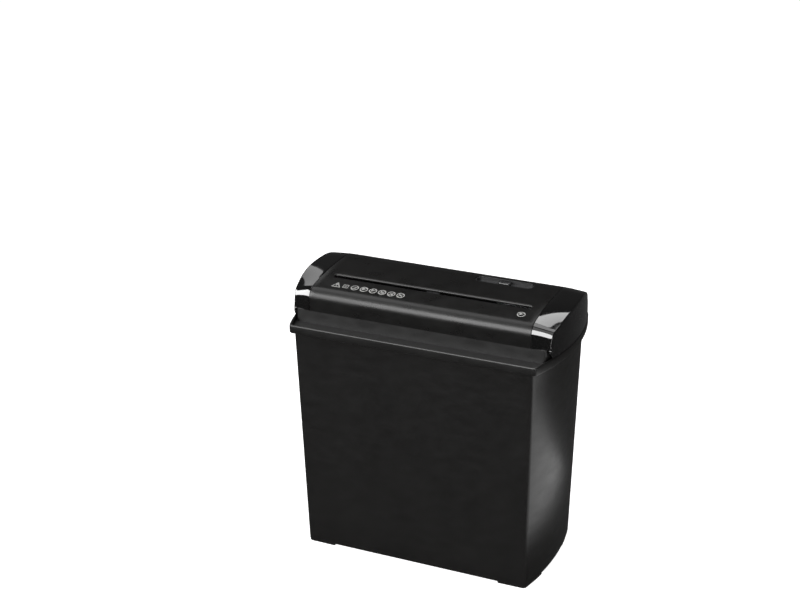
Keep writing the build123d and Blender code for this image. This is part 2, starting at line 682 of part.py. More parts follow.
MOTOR_SCREWS = ((MOTOR_AXIS[0], MOTOR_AXIS[1] + 12), (MOTOR_AXIS[0], MOTOR_AXIS[1] - 12))
drive_reach = CUTTER_MODULE * (DRIVE_TEETH + IDLER_PINION_TEETH) / 2
wheel_reach = MOTOR_MODULE * (IDLER_WHEEL_TEETH + MOTOR_TEETH) / 2
idler_axis = mesh_point(REAR_AXIS, MOTOR_AXIS, drive_reach, wheel_reach)

finish(side_plate(-PLATE_OUT, False), "left_side_plate")
finish(side_plate(PLATE_IN, True), "right_side_plate")

with BuildPart() as tie_rods:
    for spot in TIE_PLACES:
        add(bar(spot, -PLATE_IN, PLATE_IN, TIE_R))
        add(bar(spot, -PLATE_IN, -PLATE_IN + 10, SCREW_R), mode=Mode.SUBTRACT)
        add(bar(spot, PLATE_IN - 10, PLATE_IN, SCREW_R), mode=Mode.SUBTRACT)
finish(tie_rods, "tie_rods")

with BuildPart() as frame_screws:
    for spot in TIE_PLACES:
        for side in (-1, 1):
            head = sorted((side * PLATE_OUT, side * (PLATE_OUT + 1.1)))
            shank = sorted((side * (PLATE_IN - 8), side * PLATE_OUT))
            add(bar(spot, *head, SCREW_HEAD_R))
            add(bar(spot, *shank, SCREW_R - 0.02))
    for spot in PILLAR_PLACES:
        add(bar(spot, GEAR_PLATE[1], GEAR_PLATE[1] + 1.1, SCREW_HEAD_R))
        add(bar(spot, GEAR_PLATE[0] - 5, GEAR_PLATE[1], SCREW_R - 0.02))
finish(frame_screws, "frame_screws")

with BuildPart() as gear_pillars:
    for spot in PILLAR_PLACES:
        add(bar(spot, PLATE_OUT, GEAR_PLATE[0], TIE_R))
        add(bar(spot, GEAR_PLATE[0] - 6, GEAR_PLATE[0], SCREW_R), mode=Mode.SUBTRACT)
        add(bar(spot, PLATE_IN, PLATE_OUT, SCREW_R))
finish(gear_pillars, "gear_pillars")

GEAR_PLATE_OUTLINE = (
    (-17, 284), (-17, 291.5), (-10, 292.8), (30, 290), (39, 287), (39, 262), (27, 236), (18, 236), (-4, 262),
)
with BuildPart() as gear_plate:
    with BuildSketch(Plane.YZ.offset(GEAR_PLATE[0])):
        with BuildLine():
            Polyline(*GEAR_PLATE_OUTLINE, close=True)
        make_face()
        with Locations(idler_axis):
            Circle(IDLER_PIN_R + 0.02, mode=Mode.SUBTRACT)
        with Locations(MOTOR_AXIS):
            Circle(MOTOR_SHAFT_R + 1.0, mode=Mode.SUBTRACT)
        with Locations(*PILLAR_PLACES):
            Circle(SCREW_R, mode=Mode.SUBTRACT)
    extrude(amount=GEAR_PLATE[1] - GEAR_PLATE[0])
finish(gear_plate, "gear_plate")

with BuildPart() as idler_pin:
    add(bar(idler_axis, PLATE_IN, GEAR_PLATE[1], IDLER_PIN_R))
finish(idler_pin, "idler_pin")

with BuildPart() as shaft_bushes:
    for axis in (FRONT_AXIS, REAR_AXIS):
        for side in (-1, 1):
            flange = sorted((side * (PLATE_IN - 1), side * PLATE_IN))
            sleeve = sorted((side * PLATE_IN, side * PLATE_OUT))
            bore = sorted((side * (PLATE_IN - 1), side * PLATE_OUT))
            add(bar(axis, *flange, BUSH_R + 1.5))
            add(bar(axis, *sleeve, BUSH_R))
            add(bar(axis, *bore, JOURNAL_R + RUN_GAP), mode=Mode.SUBTRACT)
finish(shaft_bushes, "shaft_bushes")


def comb(side, axis, places, name):
    """Stripper comb on the tub floor: one finger in each gap between two discs of a shaft."""
    floor = TUB_FLOOR + SKIN
    far = axis[0] + side * 11.5
    near = axis[0] + side * 15.5
    bar_y = sorted((far, near))
    with BuildPart() as piece:
        add(block((-PLATE_IN + 1, bar_y[0], floor), (PLATE_IN - 1, bar_y[1], floor + 6)))
        for x in places:
            finger_y = sorted((axis[0] + side * 3.0, near))
            add(block((x - 3.2, finger_y[0], floor + 4), (x + 3.2, finger_y[1], axis[1])))
        add(bar(axis, -PLATE_IN, PLATE_IN, SPACER_R + 0.5), mode=Mode.SUBTRACT)
    finish(piece, name)


# ---------------------------------------------------------------- cutters
front_places = [-CUT_HALF + STRIP / 2 + 2 * STRIP * i for i in range(CUT_COUNT)]
rear_places = [place + STRIP for place in front_places]
comb(-1, FRONT_AXIS, [place + STRIP for place in front_places[:-1]], "front_stripper_comb")
comb(1, REAR_AXIS, [place + STRIP for place in rear_places[:-1]], "rear_stripper_comb")


def cutter_shaft(axis, right_end, name):
    """Hexagonal shaft with round journals, turned from one bar."""
    with BuildPart() as shaft:
        with BuildSketch(Plane.YZ.offset(-CUT_HALF - 1)):
            with Locations(axis):
                RegularPolygon(HEX_FLATS / 2, 6, major_radius=False)
        extrude(amount=2 * CUT_HALF + 2)
        add(bar(axis, -PLATE_OUT - 3, right_end, JOURNAL_R))
    finish(shaft, name)


def cutter_discs(axis, places, name):
    """Row of cutting discs with grip notches round the rim."""
    with BuildPart() as discs:
        for place in places:
            with BuildSketch(Plane.YZ.offset(place - DISC_WIDTH / 2)):
                with Locations(axis):
                    Circle(DISC_R)
                    RegularPolygon(HEX_FLATS / 2 + 0.02, 6, major_radius=False, mode=Mode.SUBTRACT)
                    with PolarLocations(DISC_R, GRIP_NOTCHES):
                        Circle(GRIP_NOTCH_R, mode=Mode.SUBTRACT)
            extrude(amount=DISC_WIDTH)
    finish(discs, name)


def cutter_spacers(axis, places, name):
    """Spacer rings that fill the shaft between the discs."""
    gap = 2 * STRIP - DISC_WIDTH
    with BuildPart() as spacers:
        for place in places:
            with BuildSketch(Plane.YZ.offset(place - gap / 2 + 0.02)):
                with Locations(axis):
                    Circle(SPACER_R)
                    RegularPolygon(HEX_FLATS / 2 + 0.02, 6, major_radius=False, mode=Mode.SUBTRACT)
            extrude(amount=gap - 0.04)
    finish(spacers, name)


def shaft_rings(axis, places, name):
    """Retaining rings that snap on to a journal."""
    with BuildPart() as rings:
        for place in places:
            add(bar(axis, place, place + RING, JOURNAL_R + 2))
            add(bar(axis, place, place + RING, JOURNAL_R + 0.02), mode=Mode.SUBTRACT)
    finish(rings, name)


cutter_shaft(FRONT_AXIS, LAYER_A[1] + RING + 0.3, "front_cutter_shaft")
cutter_shaft(REAR_AXIS, LAYER_B[1] + 1.6, "rear_cutter_shaft")
cutter_discs(FRONT_AXIS, front_places, "front_cutter_discs")
cutter_discs(REAR_AXIS, rear_places, "rear_cutter_discs")
cutter_spacers(FRONT_AXIS, [place + STRIP for place in front_places[:-1]], "front_spacers")
cutter_spacers(REAR_AXIS, [place + STRIP for place in rear_places[:-1]], "rear_spacers")
shaft_rings(FRONT_AXIS, (-PLATE_OUT - 1.2, LAYER_A[1] + 0.05), "front_shaft_rings")
shaft_rings(REAR_AXIS, (-PLATE_OUT - 1.2, LAYER_B[1] + 0.2), "rear_shaft_rings")


# ---------------------------------------------------------------- gears
def involute(angle):
    """Involute function of an angle in radians."""
    return tan(angle) - angle


def gear_points(teeth, module, phase, centre):
    """Outline of a spur gear with involute flanks, one tooth centred on the phase angle."""
    pitch_r = module * teeth / 2
    base_r = pitch_r * cos(PRESSURE)
    root_r = pitch_r - DEDENDUM * module
    tip_r = pitch_r + ADDENDUM * module
    start_r = max(base_r, root_r)
    radii = [start_r + (tip_r - start_r) * step / 3 for step in range(4)]
    half_angle = pi / (2 * teeth) * (1 - BACKLASH) + involute(PRESSURE)
    flank = [(r, half_angle - involute(acos(min(1.0, base_r / r)))) for r in radii]
    if root_r < base_r - 0.01:
        flank.insert(0, (root_r, flank[0][1]))
    points = []
    for tooth in range(teeth):
        middle = phase + 2 * pi * tooth / teeth
        for r, spread in flank:
            points.append((r, middle - spread))
        for r, spread in reversed(flank):
            points.append((r, middle + spread))
    return [(centre[0] + r * cos(a), centre[1] + r * sin(a)) for r, a in points]


def spur_gear(teeth, module, phase, centre, layer, bore):
    """Spur gear across one layer of the gear train."""
    with BuildPart() as gear:
        with BuildSketch(Plane.YZ.offset(layer[0])):
            with BuildLine():
                Polyline(*gear_points(teeth, module, phase, centre), close=True)
            make_face()
            with Locations(centre):
                Circle(bore, mode=Mode.SUBTRACT)
        extrude(amount=layer[1] - layer[0])
    return gear


def bearing_to(start, end):
    """Direction from one axis to another, in radians."""
    return atan2(end[1] - start[1], end[0] - start[0])


def half_pitch(teeth):
    """Half the angle from one tooth to the next."""
    return pi / teeth


journal_bore = JOURNAL_R + 0.02
front_gear = spur_gear(
    SYNC_TEETH, CUTTER_MODULE, bearing_to(FRONT_AXIS, REAR_AXIS), FRONT_AXIS, LAYER_A, journal_bore)
finish(front_gear, "front_sync_gear")
rear_gear = spur_gear(
    SYNC_TEETH, CUTTER_MODULE, bearing_to(REAR_AXIS, FRONT_AXIS) + half_pitch(SYNC_TEETH), REAR_AXIS,
    LAYER_A, journal_bore)
finish(rear_gear, "rear_sync_gear")
drive_gear = spur_gear(
    DRIVE_TEETH, CUTTER_MODULE, bearing_to(REAR_AXIS, idler_axis) + half_pitch(DRIVE_TEETH), REAR_AXIS,
    LAYER_B, journal_bore)
finish(drive_gear, "drive_gear")
motor_pinion = spur_gear(
    MOTOR_TEETH, MOTOR_MODULE, bearing_to(MOTOR_AXIS, idler_axis), MOTOR_AXIS, LAYER_C,
    MOTOR_SHAFT_R + 0.02)
finish(motor_pinion, "motor_pinion")

with BuildPart() as idler_gear:
    pin_bore = IDLER_PIN_R + RUN_GAP
    add(spur_gear(
        IDLER_PINION_TEETH, CUTTER_MODULE, bearing_to(idler_axis, REAR_AXIS), idler_axis,
        (LAYER_B[0], LAYER_C[0]), pin_bore).part)
    add(spur_gear(
        IDLER_WHEEL_TEETH, MOTOR_MODULE, bearing_to(idler_axis, MOTOR_AXIS) + half_pitch(IDLER_WHEEL_TEETH),
        idler_axis, LAYER_C, pin_bore).part)
finish(idler_gear, "idler_gear")

# ---------------------------------------------------------------- motor
with BuildPart() as motor_case:
    add(bar(MOTOR_AXIS, MOTOR_LEFT, PLATE_IN - 2, MOTOR_R))
    add(bar(MOTOR_AXIS, MOTOR_LEFT + 2, PLATE_IN - 1, MOTOR_R - 2), mode=Mode.SUBTRACT)
    add(bar(MOTOR_AXIS, MOTOR_LEFT - 3, MOTOR_LEFT + 1, 6.5))
    add(bar(MOTOR_AXIS, MOTOR_LEFT - 4, MOTOR_LEFT + 5, MOTOR_SHAFT_R + RUN_GAP), mode=Mode.SUBTRACT)
finish(motor_case, "motor_case")

with BuildPart() as motor_end_shield:
    add(bar(MOTOR_AXIS, PLATE_IN - 2, PLATE_IN, MOTOR_R))
    add(bar(MOTOR_AXIS, PLATE_IN, PLATE_OUT, 4.8))
    add(bar(MOTOR_AXIS, PLATE_IN - 3, PLATE_OUT + 1, MOTOR_SHAFT_R + RUN_GAP), mode=Mode.SUBTRACT)
    for spot in MOTOR_SCREWS:
        add(bar(spot, PLATE_IN - 3, PLATE_IN + 1, SCREW_R), mode=Mode.SUBTRACT)
finish(motor_end_shield, "motor_end_shield")

with BuildPart() as motor_screws:
    for spot in MOTOR_SCREWS:
        add(bar(spot, PLATE_OUT, PLATE_OUT + 1.1, SCREW_HEAD_R))
        add(bar(spot, PLATE_IN - 2, PLATE_OUT, SCREW_R - 0.02))
finish(motor_screws, "motor_screws")

with BuildPart() as motor_magnets:
    with BuildSketch(Plane.YZ.offset(MOTOR_LEFT + 8)):
        with Locations(MOTOR_AXIS):
            Circle(MOTOR_R - 2.05)
            Circle(MOTOR_R - 5, mode=Mode.SUBTRACT)
            Rectangle(MOTOR_R * 2, 8, mode=Mode.SUBTRACT)
    extrude(amount=32)
finish(motor_magnets, "motor_magnets")

with BuildPart() as motor_rotor:
    add(bar(MOTOR_AXIS, MOTOR_LEFT - 2, LAYER_C[1] + 0.6, MOTOR_SHAFT_R))
    with BuildSketch(Plane.YZ.offset(MOTOR_LEFT + 10)):
        with Locations(MOTOR_AXIS):
            Circle(MOTOR_R - 5.6)
            with PolarLocations(MOTOR_R - 5.6, 8):
                Rectangle(5, 1.4, mode=Mode.SUBTRACT)
    extrude(amount=28)
    add(bar(MOTOR_AXIS, MOTOR_LEFT + 40, MOTOR_LEFT + 47, 6.0))
finish(motor_rotor, "motor_rotor")

with BuildPart() as thermal_cutout:
    with BuildSketch(Plane.XZ.offset(-(MOTOR_AXIS[0] + MOTOR_R))):
        with Locations((MOTOR_LEFT + 20, MOTOR_AXIS[1])):
            Circle(5)
    extrude(amount=-3)
finish(thermal_cutout, "thermal_cutout")

# ---------------------------------------------------------------- outlet and screws
with BuildPart() as cord_gland:
    with BuildSketch(Plane.XZ.offset(-(TRAY_BACK - TRAY_WALL - 2))):
        with Locations(GLAND):
            Circle(GLAND_FLANGE_R)
    extrude(amount=-2)
    with BuildSketch(Plane.XZ.offset(-(TRAY_BACK - TRAY_WALL))):
        with Locations(GLAND):
            Circle(GLAND_R)
    extrude(amount=-TRAY_WALL)
    with BuildSketch(Plane.XZ.offset(-TRAY_BACK)):
        with Locations(GLAND):
            Circle(GLAND_FLANGE_R)
    with BuildSketch(Plane.XZ.offset(-(TRAY_BACK + 8))):
        with Locations(GLAND):
            Circle(4.6)
    loft(ruled=True)
    with BuildSketch(Plane.XZ.offset(-(TRAY_BACK - 6))):
        with Locations(GLAND):
            Circle(GLAND_BORE_R)
    extrude(amount=-16, mode=Mode.SUBTRACT)
finish(cord_gland, "cord_gland")

with BuildPart() as housing_screws:
    for x, y in TRAY_BOSSES:
        seat = LONG_SEAT if (x, y) in LONG_BOSSES else FLANGE_TOP
        add(peg(x, y, seat - HEAD_HEIGHT, seat, SCREW_HEAD_R))
        add(peg(x, y, seat, PARTING + SHANK_GRIP, PILOT_R - 0.03))
finish(housing_screws, "housing_screws")
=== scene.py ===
"""A desk-side paper shredder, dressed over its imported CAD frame. Lengths are in metres."""

import json
import logging
import math
from collections.abc import Callable, Sequence
from dataclasses import astuple, dataclass, field
from enum import Enum

import bmesh
import bpy
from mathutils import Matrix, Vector


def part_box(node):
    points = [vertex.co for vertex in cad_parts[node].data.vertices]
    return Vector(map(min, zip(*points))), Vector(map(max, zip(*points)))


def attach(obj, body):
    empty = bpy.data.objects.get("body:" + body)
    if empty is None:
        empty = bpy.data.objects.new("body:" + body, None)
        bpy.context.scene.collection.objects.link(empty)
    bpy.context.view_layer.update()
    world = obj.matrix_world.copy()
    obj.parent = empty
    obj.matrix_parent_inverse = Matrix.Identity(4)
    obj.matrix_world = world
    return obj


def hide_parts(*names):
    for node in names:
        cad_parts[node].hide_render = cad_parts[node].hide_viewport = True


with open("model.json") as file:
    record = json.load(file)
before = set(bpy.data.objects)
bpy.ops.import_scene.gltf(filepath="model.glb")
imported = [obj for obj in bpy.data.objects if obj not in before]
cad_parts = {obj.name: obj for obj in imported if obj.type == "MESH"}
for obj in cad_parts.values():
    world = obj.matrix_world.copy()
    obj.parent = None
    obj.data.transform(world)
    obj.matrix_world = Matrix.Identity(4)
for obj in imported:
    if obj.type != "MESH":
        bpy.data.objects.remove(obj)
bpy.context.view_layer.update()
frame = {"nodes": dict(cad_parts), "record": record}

MM = 0.001
SEED = 7
MERGE = 1e-6
LEAST_CORNER = 0.5 * MM

Point = tuple[float, float]
Place = tuple[float, float, float]
Colour = tuple[float, float, float]
Aims = Callable[[Vector, Vector], tuple[int, int]]

log = logging.getLogger("shredder")


# ------------------------------------------------------------------ node trees
class Tree:
    """Short way to add and join the nodes of one tree."""

    def __init__(self, tree: bpy.types.NodeTree) -> None:
        """Start on a tree."""
        self.tree = tree

    def add(self, kind: str, inputs: dict | None = None, **settings: object) -> bpy.types.Node:
        """Add a node.

        Args:
            kind: the node's type.
            inputs: values or sockets, by the input's name or number.
            settings: the node's own properties.

        Returns:
            The new node.
        """
        node = self.tree.nodes.new(kind)
        for key, value in settings.items():
            setattr(node, key, value)
        for key, value in (inputs or {}).items():
            self.feed(node.inputs[key], value)
        return node

    def feed(self, socket: bpy.types.NodeSocket, value: object) -> None:
        """Link a socket, or set its value."""
        if isinstance(value, bpy.types.NodeSocket):
            self.tree.links.new(value, socket)
        else:
            socket.default_value = value


# ------------------------------------------------------------------ finishes
class Nodes(Tree):
    """The shader nodes of one material."""

    def __init__(self, name: str) -> None:
        """Start a material of this name."""
        self.material = bpy.data.materials.new(name)
        self.material.use_nodes = True
        super().__init__(self.material.node_tree)
        self.shader = self.tree.nodes["Principled BSDF"]
        self.place = self.tree.nodes.new("ShaderNodeTexCoord").outputs["Object"]

    def surface(self, **inputs: object) -> None:
        """Feed the shader's own inputs, named with underscores for spaces."""
        for name, value in inputs.items():
            self.feed(self.shader.inputs[name.replace("_", " ")], value)

    def noise(self, size: float, detail: float = 2.0, stretch: Colour = (1, 1, 1)) -> bpy.types.NodeSocket:
        """Noise with features of about a given size.

        Args:
            size: the size of the features.
            detail: the number of finer layers.
            stretch: how much the pattern is squeezed along X, Y and Z.

        Returns:
            The noise's factor.
        """
        mapping = self.add("ShaderNodeMapping", {"Vector": self.place, "Scale": stretch})
        inputs = {"Vector": mapping.outputs[0], "Scale": 1 / size, "Detail": detail}
        return self.add("ShaderNodeTexNoise", inputs).outputs["Fac"]

    def spread(self, factor: bpy.types.NodeSocket, low: float, high: float,
               start: float = 0.3, end: float = 0.7) -> bpy.types.NodeSocket:
        """Map a factor to a range of values.

        Args:
            factor: the incoming factor.
            low: the value at start.
            high: the value at end.
            start: the factor that gives low.
            end: the factor that gives high.

        Returns:
            The mapped value.
        """
        inputs = {0: factor, 1: start, 2: end, 3: low, 4: high}
        return self.add("ShaderNodeMapRange", inputs).outputs[0]

    def tint(self, factor: bpy.types.NodeSocket, dark: Colour, light: Colour) -> None:
        """Colour the surface between two colours by a factor."""
        mix = self.add("ShaderNodeMix", {0: factor, 6: (*dark, 1), 7: (*light, 1)}, data_type="RGBA")
        self.surface(Base_Color=mix.outputs[2])

    def bump(self, height: bpy.types.NodeSocket, depth: float, strength: float) -> bpy.types.NodeSocket:
        """Relief from a height.

        Args:
            height: the height factor.
            depth: how deep the relief is.
            strength: how much of it shows.

        Returns:
            The bent normal.
        """
        inputs = {"Height": height, "Distance": depth, "Strength": strength}
        return self.add("ShaderNodeBump", inputs).outputs[0]


@dataclass(frozen=True)
class Moulded:
    """Moulded plastic: fine spark-eroded grain, slow colour drift and handling marks."""

    name: str
    colour: Colour
    roughness: float = 0.4
    grain: float = 0.0004
    depth: float = 0.00002
    relief: float = 0.35
    specular: float = 0.5
    coat: float = 0.0
    marks: float = 0.08
    drift: float = 0.25
    drift_size: float = 0.05
    smear_size: float = 0.018
    smear_squeeze: Colour = (1, 1, 2.5)
    coat_roughness: float = 0.04

    def material(self) -> bpy.types.Material:
        """Build the plastic's material."""
        nodes = Nodes(self.name)
        drift = nodes.spread(nodes.noise(self.drift_size, 3), 0, 1)
        nodes.tint(drift, self.colour, tuple(min(1.0, c * (1 + self.drift)) for c in self.colour))
        smears = nodes.noise(self.smear_size, 4, self.smear_squeeze)
        swing = self.marks / 2
        nodes.surface(
            Roughness=nodes.spread(smears, self.roughness - swing, self.roughness + swing),
            Normal=nodes.bump(nodes.noise(self.grain, 2), self.depth, self.relief),
            Specular_IOR_Level=self.specular,
            Coat_Weight=self.coat,
            Coat_Roughness=self.coat_roughness,
        )
        return nodes.material


class Lay(Enum):
    """Direction of the tool marks on metal, as a squeeze along X, Y and Z."""

    ALONG_X = (0.05, 1.0, 1.0)
    TURNED = (1.0, 0.08, 0.08)
    ROLLED = (1.0, 1.0, 0.05)
    CAST = (1.0, 1.0, 1.0)


@dataclass(frozen=True)
class Metal:
    """Worked metal: directional tool marks, oil film and dull patches."""

    name: str
    colour: Colour
    roughness: float = 0.35
    lay: Lay = Lay.ROLLED
    mark: float = 0.0003
    depth: float = 0.00001
    relief: float = 0.5
    patch_size: float = 0.012
    dulled: float = 0.72
    duller: float = 0.12
    brighter: float = 0.05

    def material(self) -> bpy.types.Material:
        """Build the metal's material."""
        nodes = Nodes(self.name)
        patches = nodes.noise(self.patch_size, 4)
        nodes.tint(nodes.spread(patches, 0, 1), tuple(c * self.dulled for c in self.colour), self.colour)
        marks = nodes.noise(self.mark, 2, self.lay.value)
        nodes.surface(
            Roughness=nodes.spread(patches, self.roughness + self.duller, self.roughness - self.brighter),
            Normal=nodes.bump(marks, self.depth, self.relief),
            Metallic=1.0,
        )
        return nodes.material


@dataclass(frozen=True)
class Laminate:
    """Solder-masked circuit board: copper tracks faintly raised under the green mask."""

    name: str
    mask: Colour
    track: Colour
    pitch: float = 0.004
    depth: float = 0.00005

    def material(self) -> bpy.types.Material:
        """Build the board's material."""
        nodes = Nodes(self.name)
        inputs = {"Vector": nodes.place, "Scale": 0.5 / self.pitch, "Mortar Size": 0.05,
                  "Color1": (0, 0, 0, 1), "Color2": (0.2, 0.2, 0.2, 1), "Mortar": (1, 1, 1, 1)}
        tracks = nodes.add("ShaderNodeTexBrick", inputs, squash=0.6).outputs["Fac"]
        nodes.tint(tracks, self.mask, self.track)
        nodes.surface(Normal=nodes.bump(tracks, self.depth, 0.6),
                      Roughness=nodes.spread(nodes.noise(0.01), 0.25, 0.4))
        return nodes.material


@dataclass(frozen=True)
class Print:
    """Pad-printed ink: slightly uneven cover over the plastic's grain."""

    name: str
    colour: Colour
    shade: Colour

    def material(self) -> bpy.types.Material:
        """Build the ink's material."""
        nodes = Nodes(self.name)
        nodes.tint(nodes.spread(nodes.noise(0.0006, 3), 0, 1), self.shade, self.colour)
        nodes.surface(Roughness=nodes.spread(nodes.noise(0.002), 0.45, 0.6))
        return nodes.material


FINISHES = {finish.name: finish for finish in (
    Moulded("bin_plastic", (0.0055, 0.0052, 0.005), 0.33, specular=0.3, depth=0.00001),
    Moulded("cover_plastic", (0.005, 0.0048, 0.0046), 0.3, grain=0.0008, relief=0.12, specular=0.22),
    Moulded("cap_gloss", (0.0035, 0.0034, 0.0034), 0.075, grain=0.006, depth=0.00001,
            relief=0.05, coat=0.35, marks=0.03),
    Moulded("tray_plastic", (0.005, 0.0048, 0.0046), 0.42, specular=0.4),
    Moulded("guide_plastic", (0.011, 0.011, 0.012), 0.4),
    Moulded("comb_plastic", (0.035, 0.035, 0.038), 0.5),
    Moulded("switch_plastic", (0.025, 0.025, 0.027), 0.45),
    Moulded("knob_plastic", (0.018, 0.018, 0.019), 0.3),
    Moulded("lever_plastic", (0.62, 0.6, 0.55), 0.4),
    Laminate("board_laminate", (0.01, 0.06, 0.02), (0.03, 0.14, 0.05)),
    Moulded("capacitor_case", (0.5, 0.36, 0.05), 0.3),
    Metal("plate_steel", (0.62, 0.63, 0.64), 0.32),
    Metal("shaft_steel", (0.55, 0.55, 0.56), 0.25, Lay.TURNED),
    Metal("cutter_steel", (0.36, 0.36, 0.37), 0.28, Lay.TURNED, 0.0002),
    Moulded("spacer_plastic", (0.02, 0.02, 0.022), 0.5),
    Metal("bush_bronze", (0.6, 0.38, 0.16), 0.42, Lay.CAST, 0.0002, 0.00002),
    Metal("gear_steel", (0.42, 0.42, 0.43), 0.4, Lay.CAST, 0.0002, 0.00002),
    Moulded("gear_plastic", (0.7, 0.67, 0.58), 0.42),
    Metal("screw_steel", (0.5, 0.5, 0.51), 0.3, Lay.CAST),
    Metal("motor_steel", (0.56, 0.57, 0.58), 0.3, Lay.ALONG_X),
    Metal("magnet_ferrite", (0.08, 0.08, 0.085), 0.6, Lay.CAST),
    Moulded("gland_rubber", (0.009, 0.009, 0.009), 0.6, relief=0.5),
    Print("print_ink", (0.62, 0.62, 0.6), (0.4, 0.4, 0.39)),
)}


class Paint:
    """Hands out each finish's material once."""

    made: dict[str, bpy.types.Material] = {}

    @classmethod
    def of(cls, slot: str) -> bpy.types.Material:
        """The material of a slot, made when it is first asked for."""
        if slot not in cls.made:
            cls.made[slot] = FINISHES[slot].material()
        return cls.made[slot]


# ------------------------------------------------------------------ mesh helpers
def make_piece(name: str, points: Sequence[Sequence[float]],
               faces: Sequence[Sequence[int]]) -> bpy.types.Object:
    """Make a mesh object, with doubles merged and faces outwards.

    Args:
        name: the object's name.
        points: the corners.
        faces: the faces, as corner numbers.

    Returns:
        The linked object.
    """
    mesh = bpy.data.meshes.new(name)
    mesh.from_pydata([tuple(p) for p in points], [], [tuple(f) for f in faces])
    piece = bpy.data.objects.new(name, mesh)
    bpy.context.scene.collection.objects.link(piece)
    clean(piece)
    return piece


def clean(piece: bpy.types.Object, reach: float = MERGE) -> None:
    """Merge doubles, drop empty faces and turn all faces outwards."""
    work = bmesh.new()
    work.from_mesh(piece.data)
    bmesh.ops.remove_doubles(work, verts=work.verts, dist=reach)
    bmesh.ops.dissolve_degenerate(work, edges=work.edges, dist=reach / 2)
    bmesh.ops.recalc_face_normals(work, faces=work.faces)
    work.to_mesh(piece.data)
    work.free()


def apply_all(piece: bpy.types.Object) -> None:
    """Turn a piece and its modifiers into a plain mesh."""
    evaluated = piece.evaluated_get(bpy.context.evaluated_depsgraph_get())
    mesh = bpy.data.meshes.new_from_object(evaluated)
    piece.modifiers.clear()
    piece.data = mesh


def smooth(piece: bpy.types.Object, angle: float = 32) -> None:
    """Shade a piece smooth, with its hard edges kept."""
    piece.data.shade_smooth()
    piece.data.set_sharp_from_angle(angle=math.radians(angle))


def bevel(piece: bpy.types.Object, width: float) -> None:
    """Round a piece's edges a little."""
    edge = piece.modifiers.new("edge", "BEVEL")
    edge.width = width
    edge.segments = 2
    apply_all(piece)
    smooth(piece)


def thicken(piece: bpy.types.Object, thickness: float, offset: float = -1, even: bool = False) -> None:
    """Give an open skin its thickness.

    Args:
        piece: the skin.
        thickness: how thick it becomes.
        offset: -1 to grow inwards, 1 to grow outwards.
        even: whether slanting parts are kept to the same thickness.
    """
    wall = piece.modifiers.new("wall", "SOLIDIFY")
    wall.thickness = thickness
    wall.offset = offset
    wall.use_even_offset = even
    apply_all(piece)


def cut(piece: bpy.types.Object, tool: bpy.types.Object) -> None:
    """Cut a closed tool out of a closed piece, and remove the tool."""
    bpy.context.view_layer.update()
    step = piece.modifiers.new("cut", "BOOLEAN")
    step.operation = "DIFFERENCE"
    step.solver = "EXACT"
    step.object = tool
    apply_all(piece)
    bpy.data.objects.remove(tool)


def dress(piece: bpy.types.Object, slot: str, body: str, *nodes: str) -> bpy.types.Object:
    """Give a finished piece its material, its body and the CAD nodes it stands for.

    Args:
        piece: the finished piece.
        slot: the record's material slot.
        body: the CAD body that it rides on.
        nodes: the CAD nodes that it replaces.

    Returns:
        The piece.
    """
    piece.data.materials.clear()
    piece.data.materials.append(Paint.of(slot))
    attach(piece, body)
    if nodes:
        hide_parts(*nodes)
    log.info("%s: %d faces on %s", piece.name, len(piece.data.polygons), body)
    return piece


def bridge(rings: int, around: int, closed: bool = True) -> list[tuple[int, int, int, int]]:
    """Faces of a grid of rings.

    Args:
        rings: the number of rings.
        around: the points in each ring.
        closed: whether each ring comes back to its start.

    Returns:
        The faces, as corner numbers.
    """
    last = around if closed else around - 1
    faces = []
    for r in range(0, (rings - 1) * around, around):
        for i in range(last):
            j = (i + 1) % around
            faces.append((r + i, r + j, r + around + j, r + around + i))
    return faces


def tube(rings: int, around: int) -> list[tuple[int, ...]]:
    """Faces of a closed stack of rings: its sides and both ends.

    Args:
        rings: the number of rings.
        around: the points in each ring.

    Returns:
        The faces, as corner numbers.
    """
    last = (rings - 1) * around
    return bridge(rings, around) + [tuple(range(around)), tuple(range(last, last + around))]


def arc_points(centre: Point, radius: float, start: float, end: float, count: int) -> list[Point]:
    """Points on an arc, from its start up to but without its end.

    Args:
        centre: the arc's centre.
        radius: its radius.
        start: its first direction, in radians.
        end: its last direction.
        count: the number of points.

    Returns:
        The points.
    """
    turns = [start + (end - start) * i / count for i in range(count)]
    return [(centre[0] + radius * math.cos(t), centre[1] + radius * math.sin(t)) for t in turns]


def four_sided(centre: Sequence[float], sizes: Sequence[Place]) -> list[Place]:
    """Corners of upright square-cornered rings.

    Args:
        centre: the rings' middle.
        sizes: each ring's half width, half depth and height.

    Returns:
        The corners, four for each ring.
    """
    signs = ((-1, -1), (1, -1), (1, 1), (-1, 1))
    return [(centre[0] + sx * x, centre[1] + sy * y, z) for x, y, z in sizes for sx, sy in signs]


def turned(vector: Vector, turn: float) -> Vector:
    """A flat vector turned anticlockwise by an angle in radians."""
    c, s = math.cos(turn), math.sin(turn)
    return Vector((c * vector.x - s * vector.y, s * vector.x + c * vector.y))


# ------------------------------------------------------------------ shared shapes
BIN_LOW, BIN_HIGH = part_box("bin")


